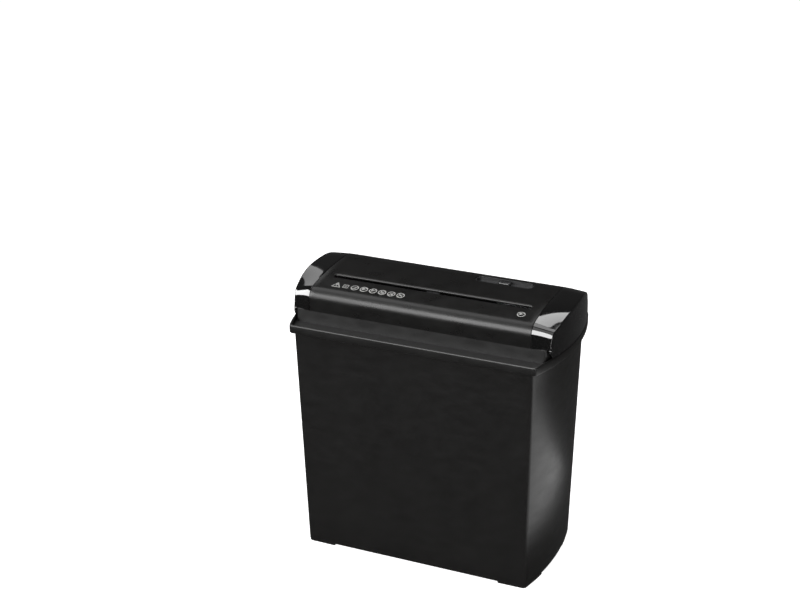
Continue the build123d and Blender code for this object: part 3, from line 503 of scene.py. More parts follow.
@dataclass(frozen=True)
class Bow:
    """A plan with flat front and back, bowed sides and rounded corners."""

    half_depth: float
    corner_x: float
    mid_x: float
    corner_r: float

    def arc(self) -> tuple[float, float]:
        """Centre x and radius of the bowed side."""
        rise = self.mid_x - self.corner_x
        radius = (self.half_depth**2 + rise**2) / (2 * rise)
        return self.mid_x - radius, radius

    def side_x(self, y: float, inset: float = 0.0) -> float:
        """X of the bowed side at depth y, moved inwards by inset."""
        centre, radius = self.arc()
        return centre + math.sqrt((radius - inset) ** 2 - y * y)

    def grown(self, by: float) -> "Bow":
        """The same plan moved outwards all round, or inwards where by is negative."""
        centre, radius = self.arc()
        depth = self.half_depth + by
        corner_x = centre + math.sqrt((radius + by) ** 2 - depth * depth)
        return Bow(depth, corner_x, self.mid_x + by, max(LEAST_CORNER, self.corner_r + by))

    def toward(self, other: "Bow", share: float) -> "Bow":
        """The plan part of the way to another plan."""
        return Bow(*(a + (b - a) * share for a, b in zip(astuple(self), astuple(other))))

    def outline(self, flat: int = 10, corner: int = 10, side: int = 28) -> list[Point]:
        """Points all round the plan, the same number whatever its size.

        Args:
            flat: spans of the front and of the back.
            corner: spans of each corner.
            side: spans of each side.

        Returns:
            The points, anticlockwise from the front's left end.
        """
        centre, radius = self.arc()
        r = self.corner_r
        corner_y = self.half_depth - r
        corner_mid = centre + math.sqrt((radius - r) ** 2 - corner_y**2)
        lean = math.atan2(corner_y, corner_mid - centre)
        half = [(-corner_mid + 2 * corner_mid * i / flat, -self.half_depth) for i in range(flat)]
        half += arc_points((corner_mid, -corner_y), r, -math.pi / 2, -lean, corner)
        half += arc_points((centre, 0.0), radius, -lean, lean, side)
        half += arc_points((corner_mid, corner_y), r, lean, math.pi / 2, corner)
        return half + [(-x, -y) for x, y in half]


RIM = Bow(BIN_HIGH.y, 134.7 * MM, BIN_HIGH.x, 5.5 * MM)


@dataclass
class Step:
    """One run of a profile: where it ends, and how it bends."""

    start: Vector
    tangent: Vector
    end: Vector
    centre: Vector | None = None
    sweep: float = 0.0


class Profile:
    """A path of tangent lines and arcs in the side view, as (y, z)."""

    def __init__(self, start: Point, tangent: Point) -> None:
        """Start a path.

        Args:
            start: the first point.
            tangent: the direction at the first point.
        """
        self.at = Vector(start)
        self.heading = Vector(tangent).normalized()
        self.steps: list[Step] = []

    def line(self, end: Point) -> "Profile":
        """Go straight to a point."""
        target = Vector(end)
        self.heading = (target - self.at).normalized()
        self.steps.append(Step(self.at, self.heading, target))
        self.at = target
        return self

    def arc(self, end: Point) -> "Profile":
        """Go to a point on the arc that leaves in the present direction."""
        target = Vector(end)
        chord = target - self.at
        side = Vector((self.heading.y, -self.heading.x))
        across = chord.dot(side)
        radius = chord.length_squared / (2 * across)
        centre = self.at + side * radius
        sweep = 2 * math.atan2(across, chord.dot(self.heading))
        self.steps.append(Step(self.at, self.heading, target, centre, sweep))
        self.heading = turned(self.heading, -sweep)
        self.at = target
        return self

    def sample(self, span: float) -> list[tuple[Vector, Vector]]:
        """Points along the path with their outward directions.

        Args:
            span: the longest distance between points.

        Returns:
            Pairs of point and unit direction away from the inside.
        """
        made = []
        for number, step in enumerate(self.steps):
            length = (step.end - step.start).length
            count = max(2, math.ceil(length / span))
            if step.centre is not None:
                count = max(count, math.ceil(abs(step.sweep) / math.radians(3)))
            last = count + 1 if number == len(self.steps) - 1 else count
            for i in range(last):
                share = i / count
                turn = -step.sweep * share
                heading = turned(step.tangent, turn)
                if step.centre is None:
                    spot = step.start.lerp(step.end, share)
                else:
                    spot = step.centre + turned(step.start - step.centre, turn)
                made.append((spot, Vector((-heading.y, heading.x))))
        return made


@dataclass(frozen=True)
class HeadShape:
    """Side profile and seams of the head's housing, shared by the cover and the end caps."""

    front: float = -58.0 * MM
    back: float = 67.8 * MM
    parting: float = 267.0 * MM
    bend_z: float = 279.0 * MM
    bend_r: float = 13.0 * MM
    bend_slope: float = 13.0
    crown: Point = (-4.0 * MM, 297.6 * MM)
    top_back: Point = (24.0 * MM, 298.4 * MM)
    shoulder: Point = (56.0 * MM, 288.0 * MM)
    knee: Point = (65.5 * MM, 275.0 * MM)
    seam: float = 121.5 * MM
    cap_inset: float = 0.6 * MM
    skin: float = 2.4 * MM

    def path(self) -> Profile:
        """The outside of the housing from the front parting line over the top to the back one."""
        slope = math.radians(self.bend_slope)
        end = (self.front + self.bend_r * (1 - math.sin(slope)), self.bend_z + self.bend_r * math.cos(slope))
        path = Profile((self.front, self.parting), (0, 1)).line((self.front, self.bend_z)).arc(end)
        path.arc(self.crown).arc(self.top_back).arc(self.shoulder).arc(self.knee)
        return path.line((self.back, self.parting))

    def top_z(self, y: float) -> float:
        """Height of the housing's top at depth y, between the front bend and the back shoulder."""
        spots = [spot for spot, _ in self.path().sample(1.5 * MM)]
        for a, b in zip(spots, spots[1:]):
            if a.x <= y <= b.x and b.x > a.x:
                return a.y + (b.y - a.y) * (y - a.x) / (b.x - a.x)
        return self.parting


HEAD = HeadShape()


# ------------------------------------------------------------------ bin
@dataclass
class Bin:
    """The waste bin: tapered wall, stepped rim and moulded corner feet."""

    neck: Bow = Bow(75.5 * MM, 130.5 * MM, 142.8 * MM, 4.5 * MM)
    base: Bow = Bow(66.9 * MM, 124.8 * MM, 132.5 * MM, 4.5 * MM)
    wall: float = 2.2 * MM
    rim_height: float = 9.0 * MM
    rim_wall: float = 2.5 * MM
    rim_edge: float = 1.3 * MM
    foot_height: float = 2.0 * MM
    foot_length: float = 30.5 * MM
    foot_depth: float = 35.0 * MM
    floor: float = 2.5 * MM
    interlock_x: float = -100.0 * MM
    rib_half: float = 1.5 * MM
    # Side outline of the interlock rib, as (y, z) in millimetres
    rib_side: tuple[Point, ...] = (
        (56, 205), (73.5, 205), (73.5, 250), (62, 250), (62, 253.5), (58, 253.5), (58, 250), (56, 250))
    rings: list[tuple[Bow, float]] = field(default_factory=list)

    def rounded(self, plan: Bow, z: float, radius: float, start: float, end: float,
                hollow: bool = False) -> None:
        """Add rings round an edge.

        Args:
            plan: the plan at the arc's centre.
            z: the height of the arc's centre.
            radius: the edge's radius.
            start: the first direction, in degrees, 0 outwards and 90 upwards.
            end: the last direction.
            hollow: whether the arc is an inside corner.
        """
        reach = -radius if hollow else radius
        for i in range(5):
            turn = math.radians(start + (end - start) * i / 4)
            self.rings.append((plan.grown(reach * math.cos(turn)), z + reach * math.sin(turn)))

    def build(self) -> bpy.types.Object:
        """Build and dress the bin."""
        top = BIN_HIGH.z
        under = top - self.rim_height
        ledge = under + self.rim_wall
        soft = 0.8 * MM
        low = BIN_LOW.z + self.foot_height
        self.rounded(self.base.grown(-soft), low + soft, soft, -90, 0)
        for i in range(1, 12):
            share = i / 12
            self.rings.append((self.base.toward(self.neck, share), low + (under - low) * share))
        self.rounded(self.neck.grown(soft), under - soft, soft, 0, -90, hollow=True)
        self.rounded(RIM.grown(-soft), under + soft, soft, -90, 0)
        edge = self.rim_edge
        self.rounded(RIM.grown(-edge), top - edge, edge, 0, 90)
        lip = 0.5 * MM
        inner = RIM.grown(-self.rim_wall)
        self.rounded(inner.grown(lip), top - lip, lip, 90, 180)
        self.rings.append((inner, ledge))
        mouth = self.neck.grown(-self.wall)
        self.rings.append((mouth.grown(lip), ledge))
        self.rings.append((mouth, ledge - lip))
        bottom = self.base.grown(-self.wall)
        inside = low + self.floor
        drop = inside + 2 * MM - ledge + lip
        for i in range(1, 9):
            self.rings.append((mouth.toward(bottom, i / 8), ledge - lip + drop * i / 8))
        self.rings.append((bottom.grown(-2 * MM), inside))
        points = [(x, y, z) for plan, z in self.rings for x, y in plan.outline()]
        shell = make_piece("bin_body", points, tube(len(self.rings), len(RIM.outline())))
        smooth(shell, 40)
        self.build_feet()
        self.build_rib()
        return dress(shell, "bin_plastic", "bin", "bin")

    def build_feet(self) -> bpy.types.Object:
        """Build the four corner feet as pads that follow the base's corners."""
        rim_in = self.base.grown(-0.4 * MM)
        reach_x = self.base.corner_x - self.foot_length
        reach_y = self.base.half_depth - self.foot_depth
        points: list[Place] = []
        faces: list[tuple[int, ...]] = []
        outline = [(x, y) for x, y in rim_in.outline() if x > reach_x and y < -reach_y]
        outline.insert(0, (reach_x, -rim_in.half_depth))
        outline.append((rim_in.side_x(reach_y), -reach_y))
        outline.append((reach_x, -reach_y))
        soft = 0.5 * MM
        middle = Vector((sum(p[0] for p in outline), sum(p[1] for p in outline))) / len(outline)
        for sx, sy in ((1, 1), (-1, 1), (-1, -1), (1, -1)):
            base = len(points)
            for z, shrink in ((0.0, soft), (soft, 0.0), (self.foot_height + soft, 0.0)):
                for x, y in outline:
                    inward = (middle - Vector((x, y))).normalized() * shrink
                    points.append((sx * (x + inward.x), sy * (y + inward.y), BIN_LOW.z + z))
            faces += [tuple(base + i for i in face) for face in tube(3, len(outline))]
        feet = make_piece("bin_feet", points, faces)
        smooth(feet)
        return dress(feet, "bin_plastic", "bin")

    def build_rib(self) -> bpy.types.Object:
        """Build the interlock rib inside the back wall, with the finger that enters the tray."""
        sides = (self.interlock_x - self.rib_half, self.interlock_x + self.rib_half)
        points = [(x, y * MM, z * MM) for x in sides for y, z in self.rib_side]
        rib = make_piece("interlock_rib", points, tube(2, len(self.rib_side)))
        bevel(rib, 0.3 * MM)
        return dress(rib, "bin_plastic", "bin")


# ------------------------------------------------------------------ head housing
@dataclass
class Cover:
    """The top cover: one moulded skin with the paper slot and the switch opening."""

    gap: float = 0.15 * MM
    roll: float = 0.45 * MM
    slot_length: float = 218.0 * MM
    slot_width: float = 6.5 * MM
    slot_y: float = -23.5 * MM
    lip: float = 1.6 * MM
    bezel_at: Point = (62.0 * MM, 23.0 * MM)
    bezel_length: float = 64.0 * MM
    bezel_width: float = 14.0 * MM

    def build(self) -> bpy.types.Object:
        """Build and dress the cover."""
        samples = HEAD.path().sample(2.0 * MM)
        columns = self.columns()
        reach = HEAD.seam - self.gap - self.roll
        points = []
        for spot, out in samples:
            for share, (across, down) in columns:
                x = share * reach + math.copysign(self.roll * across, share)
                y, z = spot - out * (self.roll * down)
                points.append((x, y, z))
        shell = make_piece("cover_shell", points, bridge(len(samples), len(columns), closed=False))
        thicken(shell, HEAD.skin, even=True)
        cut(shell, self.slot_tool("slot_tool", (0, self.slot_y), self.slot_length, self.slot_width, self.lip))
        cut(shell, self.slot_tool("bezel_tool", self.bezel_at, self.bezel_length, self.bezel_width, 0.4 * MM))
        clean(shell, 2 * MERGE)
        smooth(shell, 30)
        return dress(shell, "cover_plastic", "head", "top_cover")

    def columns(self) -> list[tuple[float, Point]]:
        """Places across the cover: a share of its half width, and how far round its rolled edge."""
        flat = [(i / 20, (0.0, 0.0)) for i in range(-20, 21)]
        edge = [(math.sin(math.radians(a)), 1 - math.cos(math.radians(a))) for a in (30, 60, 90)]
        right = [(1.0, e) for e in edge] + [(1.0, (1.0, 2.0))]
        left = [(-1.0, e) for _, e in reversed(right)]
        return left + flat + right

    def slot_tool(self, name: str, at: Point, length: float, width: float, lip: float) -> bpy.types.Object:
        """A round-ended cutter whose top flares to leave a rounded lip on the sloping skin.

        Args:
            name: the tool's name.
            at: the middle of the slot.
            length: its overall length.
            width: its width.
            lip: the radius of its lip.

        Returns:
            The closed tool.
        """
        turns = 24
        half = length / 2 - width / 2
        rounds = [(1, -math.pi / 2 + math.pi * i / turns) for i in range(turns + 1)]
        rounds += [(-1, math.pi / 2 + math.pi * i / turns) for i in range(turns + 1)]
        levels = [(0.0, -30 * MM)]
        levels += [(lip * (1 - math.cos(a)), -lip * (1 - math.sin(a))) for a in
                   (math.radians(t) for t in (0, 15, 30, 45, 60, 75, 90))]
        levels.append((lip, 12 * MM))
        points = []
        for grow, sink in levels:
            for side, turn in rounds:
                r = width / 2 + grow
                x = at[0] + side * half + r * math.cos(turn)
                y = at[1] + r * math.sin(turn)
                points.append((x, y, HEAD.top_z(y) + sink))
        return make_piece(name, points, tube(len(levels), len(rounds)))


@dataclass
class EndCap:
    """A glossy end cap: a strip over the top and a leaf-shaped side panel down to the rim."""

    side: int
    edge: float = 1.4 * MM
    chamfer: float = 0.5 * MM
    wall: float = 2.2 * MM
    lap: float = 2.0 * MM
    tip_front: float = -50.3 * MM
    tip_back: float = 60.1 * MM
    sweep: float = 1.8 * MM
    sweep_share: float = 0.05
    bottom: float = BIN_HIGH.z + 0.3 * MM
    ease_at: float = 22.0 * MM
    ease_peak: float = 5.0 * MM
    ease_rest: float = 1.5 * MM
    ease_ahead: float = 19.0 * MM
    ease_behind: float = 31.0 * MM

    def ease(self, reach: float) -> float:
        """How far the cap's outer edge lies below the cover's profile.

        Args:
            reach: the distance along the profile from the front parting line.

        Returns:
            The depth, greatest at the front bend.
        """
        off = reach - self.ease_at
        width = self.ease_ahead if off < 0 else self.ease_behind
        return self.ease_rest + self.ease_peak * math.exp(-((off / width) ** 2))

    def section(self, spot: Vector, out: Vector, along: float, reach: float) -> list[Place]:
        """One line of points over the cap, from its seam to its lower edge.

        Args:
            spot: the point on the profile.
            out: the profile's outward direction there.
            along: how far along the profile it is, from 0 to 1.
            reach: how far along the profile it is, as a length.

        Returns:
            The points.
        """
        seam = HEAD.seam
        drop = out * self.ease(reach)
        outer = RIM.side_x((spot - drop).x, HEAD.cap_inset)
        corner = self.chamfer * 0.35
        rolled = ((0.0, self.lap), (0.0, self.chamfer), (corner, corner), (self.chamfer, 0.0))
        made = [(seam + ahead, *(spot - out * sink)) for ahead, sink in rolled]
        for i in range(1, 13):
            share = i / 12
            y, z = spot - drop * share**1.2
            made.append((seam + self.chamfer + (outer - self.edge - seam - self.chamfer) * share, y, z))
        spot = spot - drop
        for turn in (18, 36, 54, 72, 90):
            a = math.radians(turn)
            y, z = spot - out * (self.edge * (1 - math.cos(a)))
            made.append((outer - self.edge + self.edge * math.sin(a), y, z))
        start = spot - out * self.edge
        foot = Vector((self.tip_front + (self.tip_back - self.tip_front) * along, self.bottom))
        swing = math.exp(-along / self.sweep_share) - math.exp(-(1 - along) / self.sweep_share)
        for i in range(1, 13):
            share = i / 12
            y, z = start.lerp(foot, share)
            y -= swing * self.sweep * 4 * share * (1 - share)
            made.append((RIM.side_x(y, HEAD.cap_inset), y, z))
        return made

    def build(self) -> bpy.types.Object:
        """Build and dress the cap."""
        samples = HEAD.path().sample(1.2 * MM)
        lengths = [0.0]
        for (a, _), (b, _) in zip(samples, samples[1:]):
            lengths.append(lengths[-1] + (b - a).length)
        rows = [self.section(spot, out, s / lengths[-1], s) for (spot, out), s in zip(samples, lengths)]
        points = [(self.side * x, y, z) for row in rows for x, y, z in row]
        hand = "right" if self.side > 0 else "left"
        cap = make_piece(hand + "_cap", points, bridge(len(rows), len(rows[0]), closed=False))
        if cap.data.polygons[len(cap.data.polygons) // 2].normal.z < -0.9:
            cap.data.flip_normals()
        thicken(cap, self.wall)
        smooth(cap, 35)
        return dress(cap, "cap_gloss", "head", hand + "_end_cap")


# ------------------------------------------------------------------ printed pictograms
class Mark(Enum):
    """What a pictogram shows inside its ring."""

    SHEET = "sheet"
    CLIP = "clip"
    DISC = "disc"
    BAR = "bar"
    DROP = "drop"
    CROSS = "cross"
    ALERT = "alert"
    TRIANGLE = "triangle"


@dataclass
class Pictograms:
    """Generic pictograms printed on the cover in front of the slot."""

    size: float = 8.4 * MM
    line: float = 0.75 * MM
    lift: float = 0.03 * MM
    film: float = 0.04 * MM
    row_y: float = -41.5 * MM
    row_left: float = -98.0 * MM
    row_pitch: float = 10.3 * MM
    single_at: Point = (104.0 * MM, 2.0 * MM)
    skin: list[tuple[tuple[Vector, Vector], float]] = field(default_factory=list)
    points: list[Place] = field(default_factory=list)
    faces: list[tuple[int, ...]] = field(default_factory=list)

    def on_cover(self, x: float, up: float) -> Place:
        """Lay a flat place on the cover's curved front.

        Args:
            x: across the cover.
            up: along the cover's skin from the row's middle, towards the slot.

        Returns:
            The point just above the skin.
        """
        spots = self.skin
        middle = next(i for i, (s, _) in enumerate(spots) if s[0].x >= self.row_y)
        target = spots[middle][1] + up
        for (a, la), (b, lb) in zip(spots, spots[1:]):
            if la <= target <= lb:
                share = (target - la) / (lb - la)
                y, z = a[0].lerp(b[0], share) + a[1].lerp(b[1], share) * self.lift
                return (x, y, z)
        raise ValueError("a pictogram lies off the cover")

    def stroke(self, at: Point, path: Sequence[Point], closed: bool = False, width: float = 1.0) -> None:
        """Draw a line of even width.

        Args:
            at: the pictogram's middle, across and up the skin.
            path: its points, in pictogram sizes from the middle.
            closed: whether it comes back to its start.
            width: its width, in line widths.
        """
        spots = [Vector(p) * self.size for p in path]
        half = self.line * width / 2
        count = len(spots)
        base = len(self.points)
        for i, spot in enumerate(spots):
            before = spots[i - 1] if closed or i else spot * 2 - spots[1]
            after = spots[(i + 1) % count] if closed or i < count - 1 else spot * 2 - spots[i - 1]
            first, second = (spot - before).normalized(), (after - spot).normalized()
            normal = Vector((-(first + second).y, (first + second).x)).normalized()
            reach = half / max(0.4, normal.dot(Vector((-first.y, first.x))))
            for sign in (-1, 1):
                place = spot + normal * sign * reach
                self.points.append(self.on_cover(at[0] + place.x, at[1] + place.y))
        for i in range(count if closed else count - 1):
            j = (i + 1) % count
            self.faces.append((base + 2 * i, base + 2 * i + 1, base + 2 * j + 1, base + 2 * j))

    def ring(self, at: Point, radius: float, width: float = 1.0, centre: Point = (0, 0)) -> None:
        """Draw a circle."""
        self.stroke(at, arc_points(centre, radius, 0.0, 2 * math.pi, 28), True, width)

    def draw(self, at: Point, mark: Mark) -> None:
        """Draw one pictogram."""
        if mark is Mark.TRIANGLE:
            self.stroke(at, [(-0.52, -0.38), (0.52, -0.38), (0, 0.5)], True)
            self.stroke(at, [(0, 0.2), (0, -0.06)], width=1.4)
            self.stroke(at, [(0, -0.16), (0, -0.24)], width=1.4)
            return
        if mark is Mark.SHEET:
            self.stroke(at, [(-0.32, -0.3), (0.32, -0.3), (0.32, 0.3), (-0.32, 0.3)], True, 0.7)
            self.stroke(at, [(-0.16, 0.1), (0.16, 0.1)], width=0.6)
            self.stroke(at, [(-0.16, -0.08), (0.16, -0.08)], width=0.6)
            return
        self.ring(at, 0.46)
        self.stroke(at, [(-0.3, -0.3), (0.3, 0.3)], width=0.9)
        if mark is Mark.CLIP:
            self.stroke(at, [(-0.06, -0.22), (0.18, 0.02), (0.1, 0.1), (-0.2, -0.18)], width=0.6)
        elif mark is Mark.DISC:
            self.ring(at, 0.1, 1.2, (-0.12, 0.12))
        elif mark is Mark.BAR:
            self.stroke(at, [(-0.26, 0.06), (-0.06, 0.26)], width=1.6)
        elif mark is Mark.DROP:
            self.ring(at, 0.07, 1.2, (0.14, -0.16))
            self.stroke(at, [(-0.2, 0.06), (-0.06, 0.22)], width=0.8)
        elif mark is Mark.CROSS:
            self.stroke(at, [(-0.3, 0.3), (0.3, -0.3)], width=0.9)
        elif mark is Mark.ALERT:
            self.stroke(at, [(0.04, -0.26), (0.26, -0.04)], width=1.4)
            self.ring(at, 0.06, 1.0, (-0.14, 0.14))

    def build(self) -> bpy.types.Object:
        """Build and dress the printed film."""
        samples = HEAD.path().sample(1.0 * MM)
        run = 0.0
        self.skin.append((samples[0], 0.0))
        for a, b in zip(samples, samples[1:]):
            run += (b[0] - a[0]).length
            self.skin.append((b, run))
        row = (Mark.TRIANGLE, Mark.SHEET, Mark.CLIP, Mark.DISC, Mark.BAR, Mark.ALERT, Mark.DROP, Mark.CROSS)
        for i, mark in enumerate(row):
            self.draw((self.row_left + self.row_pitch * i, 0.0), mark)
        self.draw(self.single_at, Mark.DISC)
        film = make_piece("pictograms", self.points, self.faces)
        for face in film.data.polygons:
            if face.normal.z < 0:
                face.flip()
        thicken(film, self.film, 1)
        return dress(film, "print_ink", "head")


# ------------------------------------------------------------------ repeated pieces
class GeometryTree(Tree):
    """Short way to build a Geometry Nodes tree with named inputs."""

    def __init__(self, name: str) -> None:
        """Start a tree with a geometry input and output."""
        super().__init__(bpy.data.node_groups.new(name, "GeometryNodeTree"))
        self.sockets: dict[str, str] = {}
        self.socket("Geometry", "NodeSocketGeometry")
        self.tree.interface.new_socket("Geometry", in_out="OUTPUT", socket_type="NodeSocketGeometry")
        self.entry = self.add("NodeGroupInput")
        self.exit = self.add("NodeGroupOutput")

    def socket(self, name: str, kind: str) -> None:
        """Add a named input."""
        made = self.tree.interface.new_socket(name, in_out="INPUT", socket_type=kind)
        self.sockets[name] = made.identifier

    def finish(self, geometry: bpy.types.NodeSocket) -> None:
        """End the tree in realised instances with their material."""
        real = self.add("GeometryNodeRealizeInstances", {"Geometry": geometry})
        painted = self.add("GeometryNodeSetMaterial",
                           {"Geometry": real.outputs[0], "Material": self.entry.outputs["Material"]})
        self.feed(self.exit.inputs[0], painted.outputs[0])

    def grow(self, name: str, spots: Sequence[Vector], aims: Sequence[Vector], values: dict[str, object],
             angle: float) -> bpy.types.Object:
        """Run the tree on loose points that each carry a direction, and keep the result as a plain mesh.

        Args:
            name: the object's name.
            spots: the points.
            aims: the direction of each.
            values: the inputs, by name. The copied pattern is used up.
            angle: the hard edges' least angle, in degrees.

        Returns:
            The copies.
        """
        group = make_piece(name, spots, [])
        aim = group.data.attributes.new("aim", "FLOAT_VECTOR", "POINT")
        aim.data.foreach_set("vector", [v for direction in aims for v in direction])
        step = group.modifiers.new("grow", "NODES")
        step.node_group = self.tree
        for key, value in values.items():
            step[self.sockets[key]] = value
        apply_all(group)
        bpy.data.objects.remove(values["Copy"])
        smooth(group, angle)
        return group


def instancing_tree() -> GeometryTree:
    """Tree that stands a copy of one piece on each point, aimed along the point's own direction.

    Returns:
        The tree, with inputs for the copy, its size, its random turn and its material.
    """
    tree = GeometryTree("copies_on_points")
    tree.socket("Copy", "NodeSocketObject")
    tree.socket("Size", "NodeSocketFloat")
    tree.socket("Turn", "NodeSocketFloat")
    tree.socket("Material", "NodeSocketMaterial")
    inputs = tree.entry.outputs
    copy = tree.add("GeometryNodeObjectInfo", {"Object": inputs["Copy"]})
    aim = tree.add("GeometryNodeInputNamedAttribute", {"Name": "aim"}, data_type="FLOAT_VECTOR")
    facing = tree.add("FunctionNodeAlignRotationToVector", {"Vector": aim.outputs[0]}, axis="Z")
    chance = tree.add("FunctionNodeRandomValue", {"Seed": SEED, 2: 0.0, 3: inputs["Turn"]}, data_type="FLOAT")
    spin = tree.add("FunctionNodeAxisAngleToRotation", {"Axis": (0, 0, 1), "Angle": chance.outputs[1]})
    both = tree.add("FunctionNodeRotateRotation",
                    {"Rotation": facing.outputs[0], "Rotate By": spin.outputs[0]}, rotation_space="LOCAL")
    placed = tree.add("GeometryNodeInstanceOnPoints", {
        "Points": inputs["Geometry"], "Instance": copy.outputs["Geometry"], "Rotation": both.outputs[0],
        "Scale": inputs["Size"]})
    tree.finish(placed.outputs[0])
    return tree


def islands(node: str) -> list[tuple[Vector, Vector]]:
    """Boxes of the separate solids in a CAD node.

    Args:
        node: the CAD node's name.

    Returns:
        The lowest and highest corner of each solid.
    """
    work = bmesh.new()
    work.from_mesh(frame["nodes"][node].data)
    bmesh.ops.remove_doubles(work, verts=work.verts, dist=MERGE)
    left, found = set(work.verts), []
    while left:
        stack, group = [left.pop()], []
        while stack:
            vert = stack.pop()
            group.append(vert.co.copy())
            for edge in vert.link_edges:
                other = edge.other_vert(vert)
                if other in left:
                    left.discard(other)
                    stack.append(other)
        low = Vector([min(p[i] for p in group) for i in range(3)])
        high = Vector([max(p[i] for p in group) for i in range(3)])
        found.append((low, high))
    work.free()
    return sorted(found, key=lambda pair: tuple(round(v, 6) for v in pair[0]))


@dataclass
class Screws:
    """Pan-head screws with a cross recess, one set for each CAD node of screws."""

    tree: GeometryTree
    head_share: float = 0.98

    def pattern(self, radius: float, head: float, length: float, shank: float) -> bpy.types.Object:
        """One screw that stands on its tip's side, its head facing +Z from the origin.

        Args:
            radius: the head's radius.
            head: the head's height.
            length: the whole length.
            shank: the shank's radius.

        Returns:
            The pattern, which isn't part of the object.
        """
        turns = 24
        dome = ((0.0, 0.0), (0.5, 0.02), (0.82, 0.14), (0.97, 0.4), (1.0, 0.75), (1.0, 1.0))
        outline = [(radius * r, -head * z) for r, z in dome] + [(shank, -head)]
        threads = max(2, int((length - head) / (0.5 * MM)))
        for i in range(threads):
            z = -head - (length - head) * (i + 0.5) / threads
            outline.append((shank * (0.8 if i % 2 else 1.0), z))
        outline.append((shank * 0.6, -length))
        outline.append((0.0, -length))
        points = [(r * math.cos(2 * math.pi * i / turns), r * math.sin(2 * math.pi * i / turns), z)
                  for r, z in outline for i in range(turns)]
        screw = make_piece("screw_pattern", points, bridge(len(outline), turns))
        wide, slim, deep = radius * 0.55, radius * 0.14, head * 0.55
        for x, y in ((wide, slim), (slim, wide)):
            corners = four_sided((0.0, 0.0), [(x * s, y * s, z) for z, s in ((-deep, 0.45), (head, 1.25))])
            cut(screw, make_piece("arm", corners, tube(2, 4)))
        return screw

    def build(self, node: str, body: str, aims: Aims) -> bpy.types.Object:
        """Build one set of screws where the CAD has them.

        Args:
            node: the CAD node of the plain screws.
            body: the body that they ride on.
            aims: gives the axis number and the side that the head faces, from a screw's box.

        Returns:
            The dressed set.
        """
        boxes = islands(node)
        spots, facings = [], []
        for low, high in boxes:
            axis, side = aims(low, high)
            spot = (low + high) / 2
            spot[axis] = high[axis] if side > 0 else low[axis]
            facing = Vector((0, 0, 0))
            facing[axis] = side
            spots.append(spot)
            facings.append(facing)
        axis = aims(*boxes[0])[0]
        size = boxes[0][1] - boxes[0][0]
        radius = min(size[i] for i in range(3) if i != axis) / 2
        pattern = self.pattern(radius * self.head_share, 0.36 * radius * 2, size[axis], radius * 0.5)
        values = {"Copy": pattern, "Size": 1.0, "Turn": math.pi / 2, "Material": Paint.of("screw_steel")}
        group = self.tree.grow(node + "_set", spots, facings, values, 35)
        return dress(group, "screw_steel", body, node)


@dataclass
class ModeKnob:
    """The sliding mode knob: a rounded thumb piece with a row of grip ribs."""

    ribs: int = 5
    rib_pitch: float = 1.7 * MM
    rib_radius: float = 0.42 * MM
    soft: float = 0.9 * MM
    grip_height: float = 3.4 * MM
    stem_half: Point = (1.8 * MM, 1.5 * MM)
    stem_overlap: float = 0.3 * MM

    def build(self, tree: GeometryTree) -> bpy.types.Object:
        """Build and dress the knob.

        Args:
            tree: the tree that copies a piece on points.

        Returns:
            The dressed knob.
        """
        low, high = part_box("mode_knob")
        centre = (low + high) / 2
        half_length, half_width = (high.x - low.x) / 2, (high.y - low.y) / 2
        under = high.z - self.grip_height
        levels = [(0.4 * MM, under), (0.0, under + 0.4 * MM), (0.0, high.z - self.soft)]
        levels += [(self.soft * (1 - math.cos(a)), high.z - self.soft * (1 - math.sin(a))) for a in
                   (math.radians(t) for t in (30, 60, 90))]
        points, turns = [], 16
        for shrink, z in levels:
            r = half_width - shrink
            for side, start in ((1, -math.pi / 2), (-1, math.pi / 2)):
                for i in range(turns + 1):
                    turn = start + math.pi * i / turns
                    x = centre.x + side * (half_length - half_width) + r * math.cos(turn)
                    points.append((x, centre.y + r * math.sin(turn), z))
        knob = make_piece("mode_knob_grip", points, tube(len(levels), 2 * (turns + 1)))
        smooth(knob, 35)
        self.build_ribs(tree, centre, high.z, half_width - self.soft)
        self.build_stem(centre, low.z, under)
        return dress(knob, "knob_plastic", "mode_knob", "mode_knob")

    def build_ribs(self, tree: GeometryTree, centre: Vector, top: float, reach: float) -> bpy.types.Object:
        """Build the row of grip ribs, half sunk in the knob's top.

        Args:
            tree: the tree that copies a piece on points.
            centre: the knob's middle.
            top: the height of its top.
            reach: half the length of a rib.

        Returns:
            The dressed ribs.
        """
        turns = 12
        r = self.rib_radius
        stations = [(-reach, 0.4), (-reach + r, 1.0), (reach - r, 1.0), (reach, 0.4)]
        points = [(r * s * math.cos(2 * math.pi * i / turns), y, r * s * math.sin(2 * math.pi * i / turns))
                  for y, s in stations for i in range(turns)]
        pattern = make_piece("rib_pattern", points, tube(len(stations), turns))
        first = centre.x - self.rib_pitch * (self.ribs - 1) / 2
        spots = [Vector((first + self.rib_pitch * i, centre.y, top)) for i in range(self.ribs)]
        values = {"Copy": pattern, "Size": 1.0, "Turn": 0.0, "Material": Paint.of("knob_plastic")}
        ribs = tree.grow("mode_knob_ribs", spots, [Vector((0, 0, 1))] * self.ribs, values, 40)
        return dress(ribs, "knob_plastic", "mode_knob")

    def build_stem(self, centre: Vector, low: float, top: float) -> bpy.types.Object:
        """Build the stem that reaches into the switch."""
        sizes = [(*self.stem_half, z) for z in (low, top + self.stem_overlap)]
        stem = make_piece("mode_knob_stem", four_sided(centre, sizes), tube(2, 4))
        bevel(stem, 0.25 * MM)
        return dress(stem, "knob_plastic", "mode_knob")


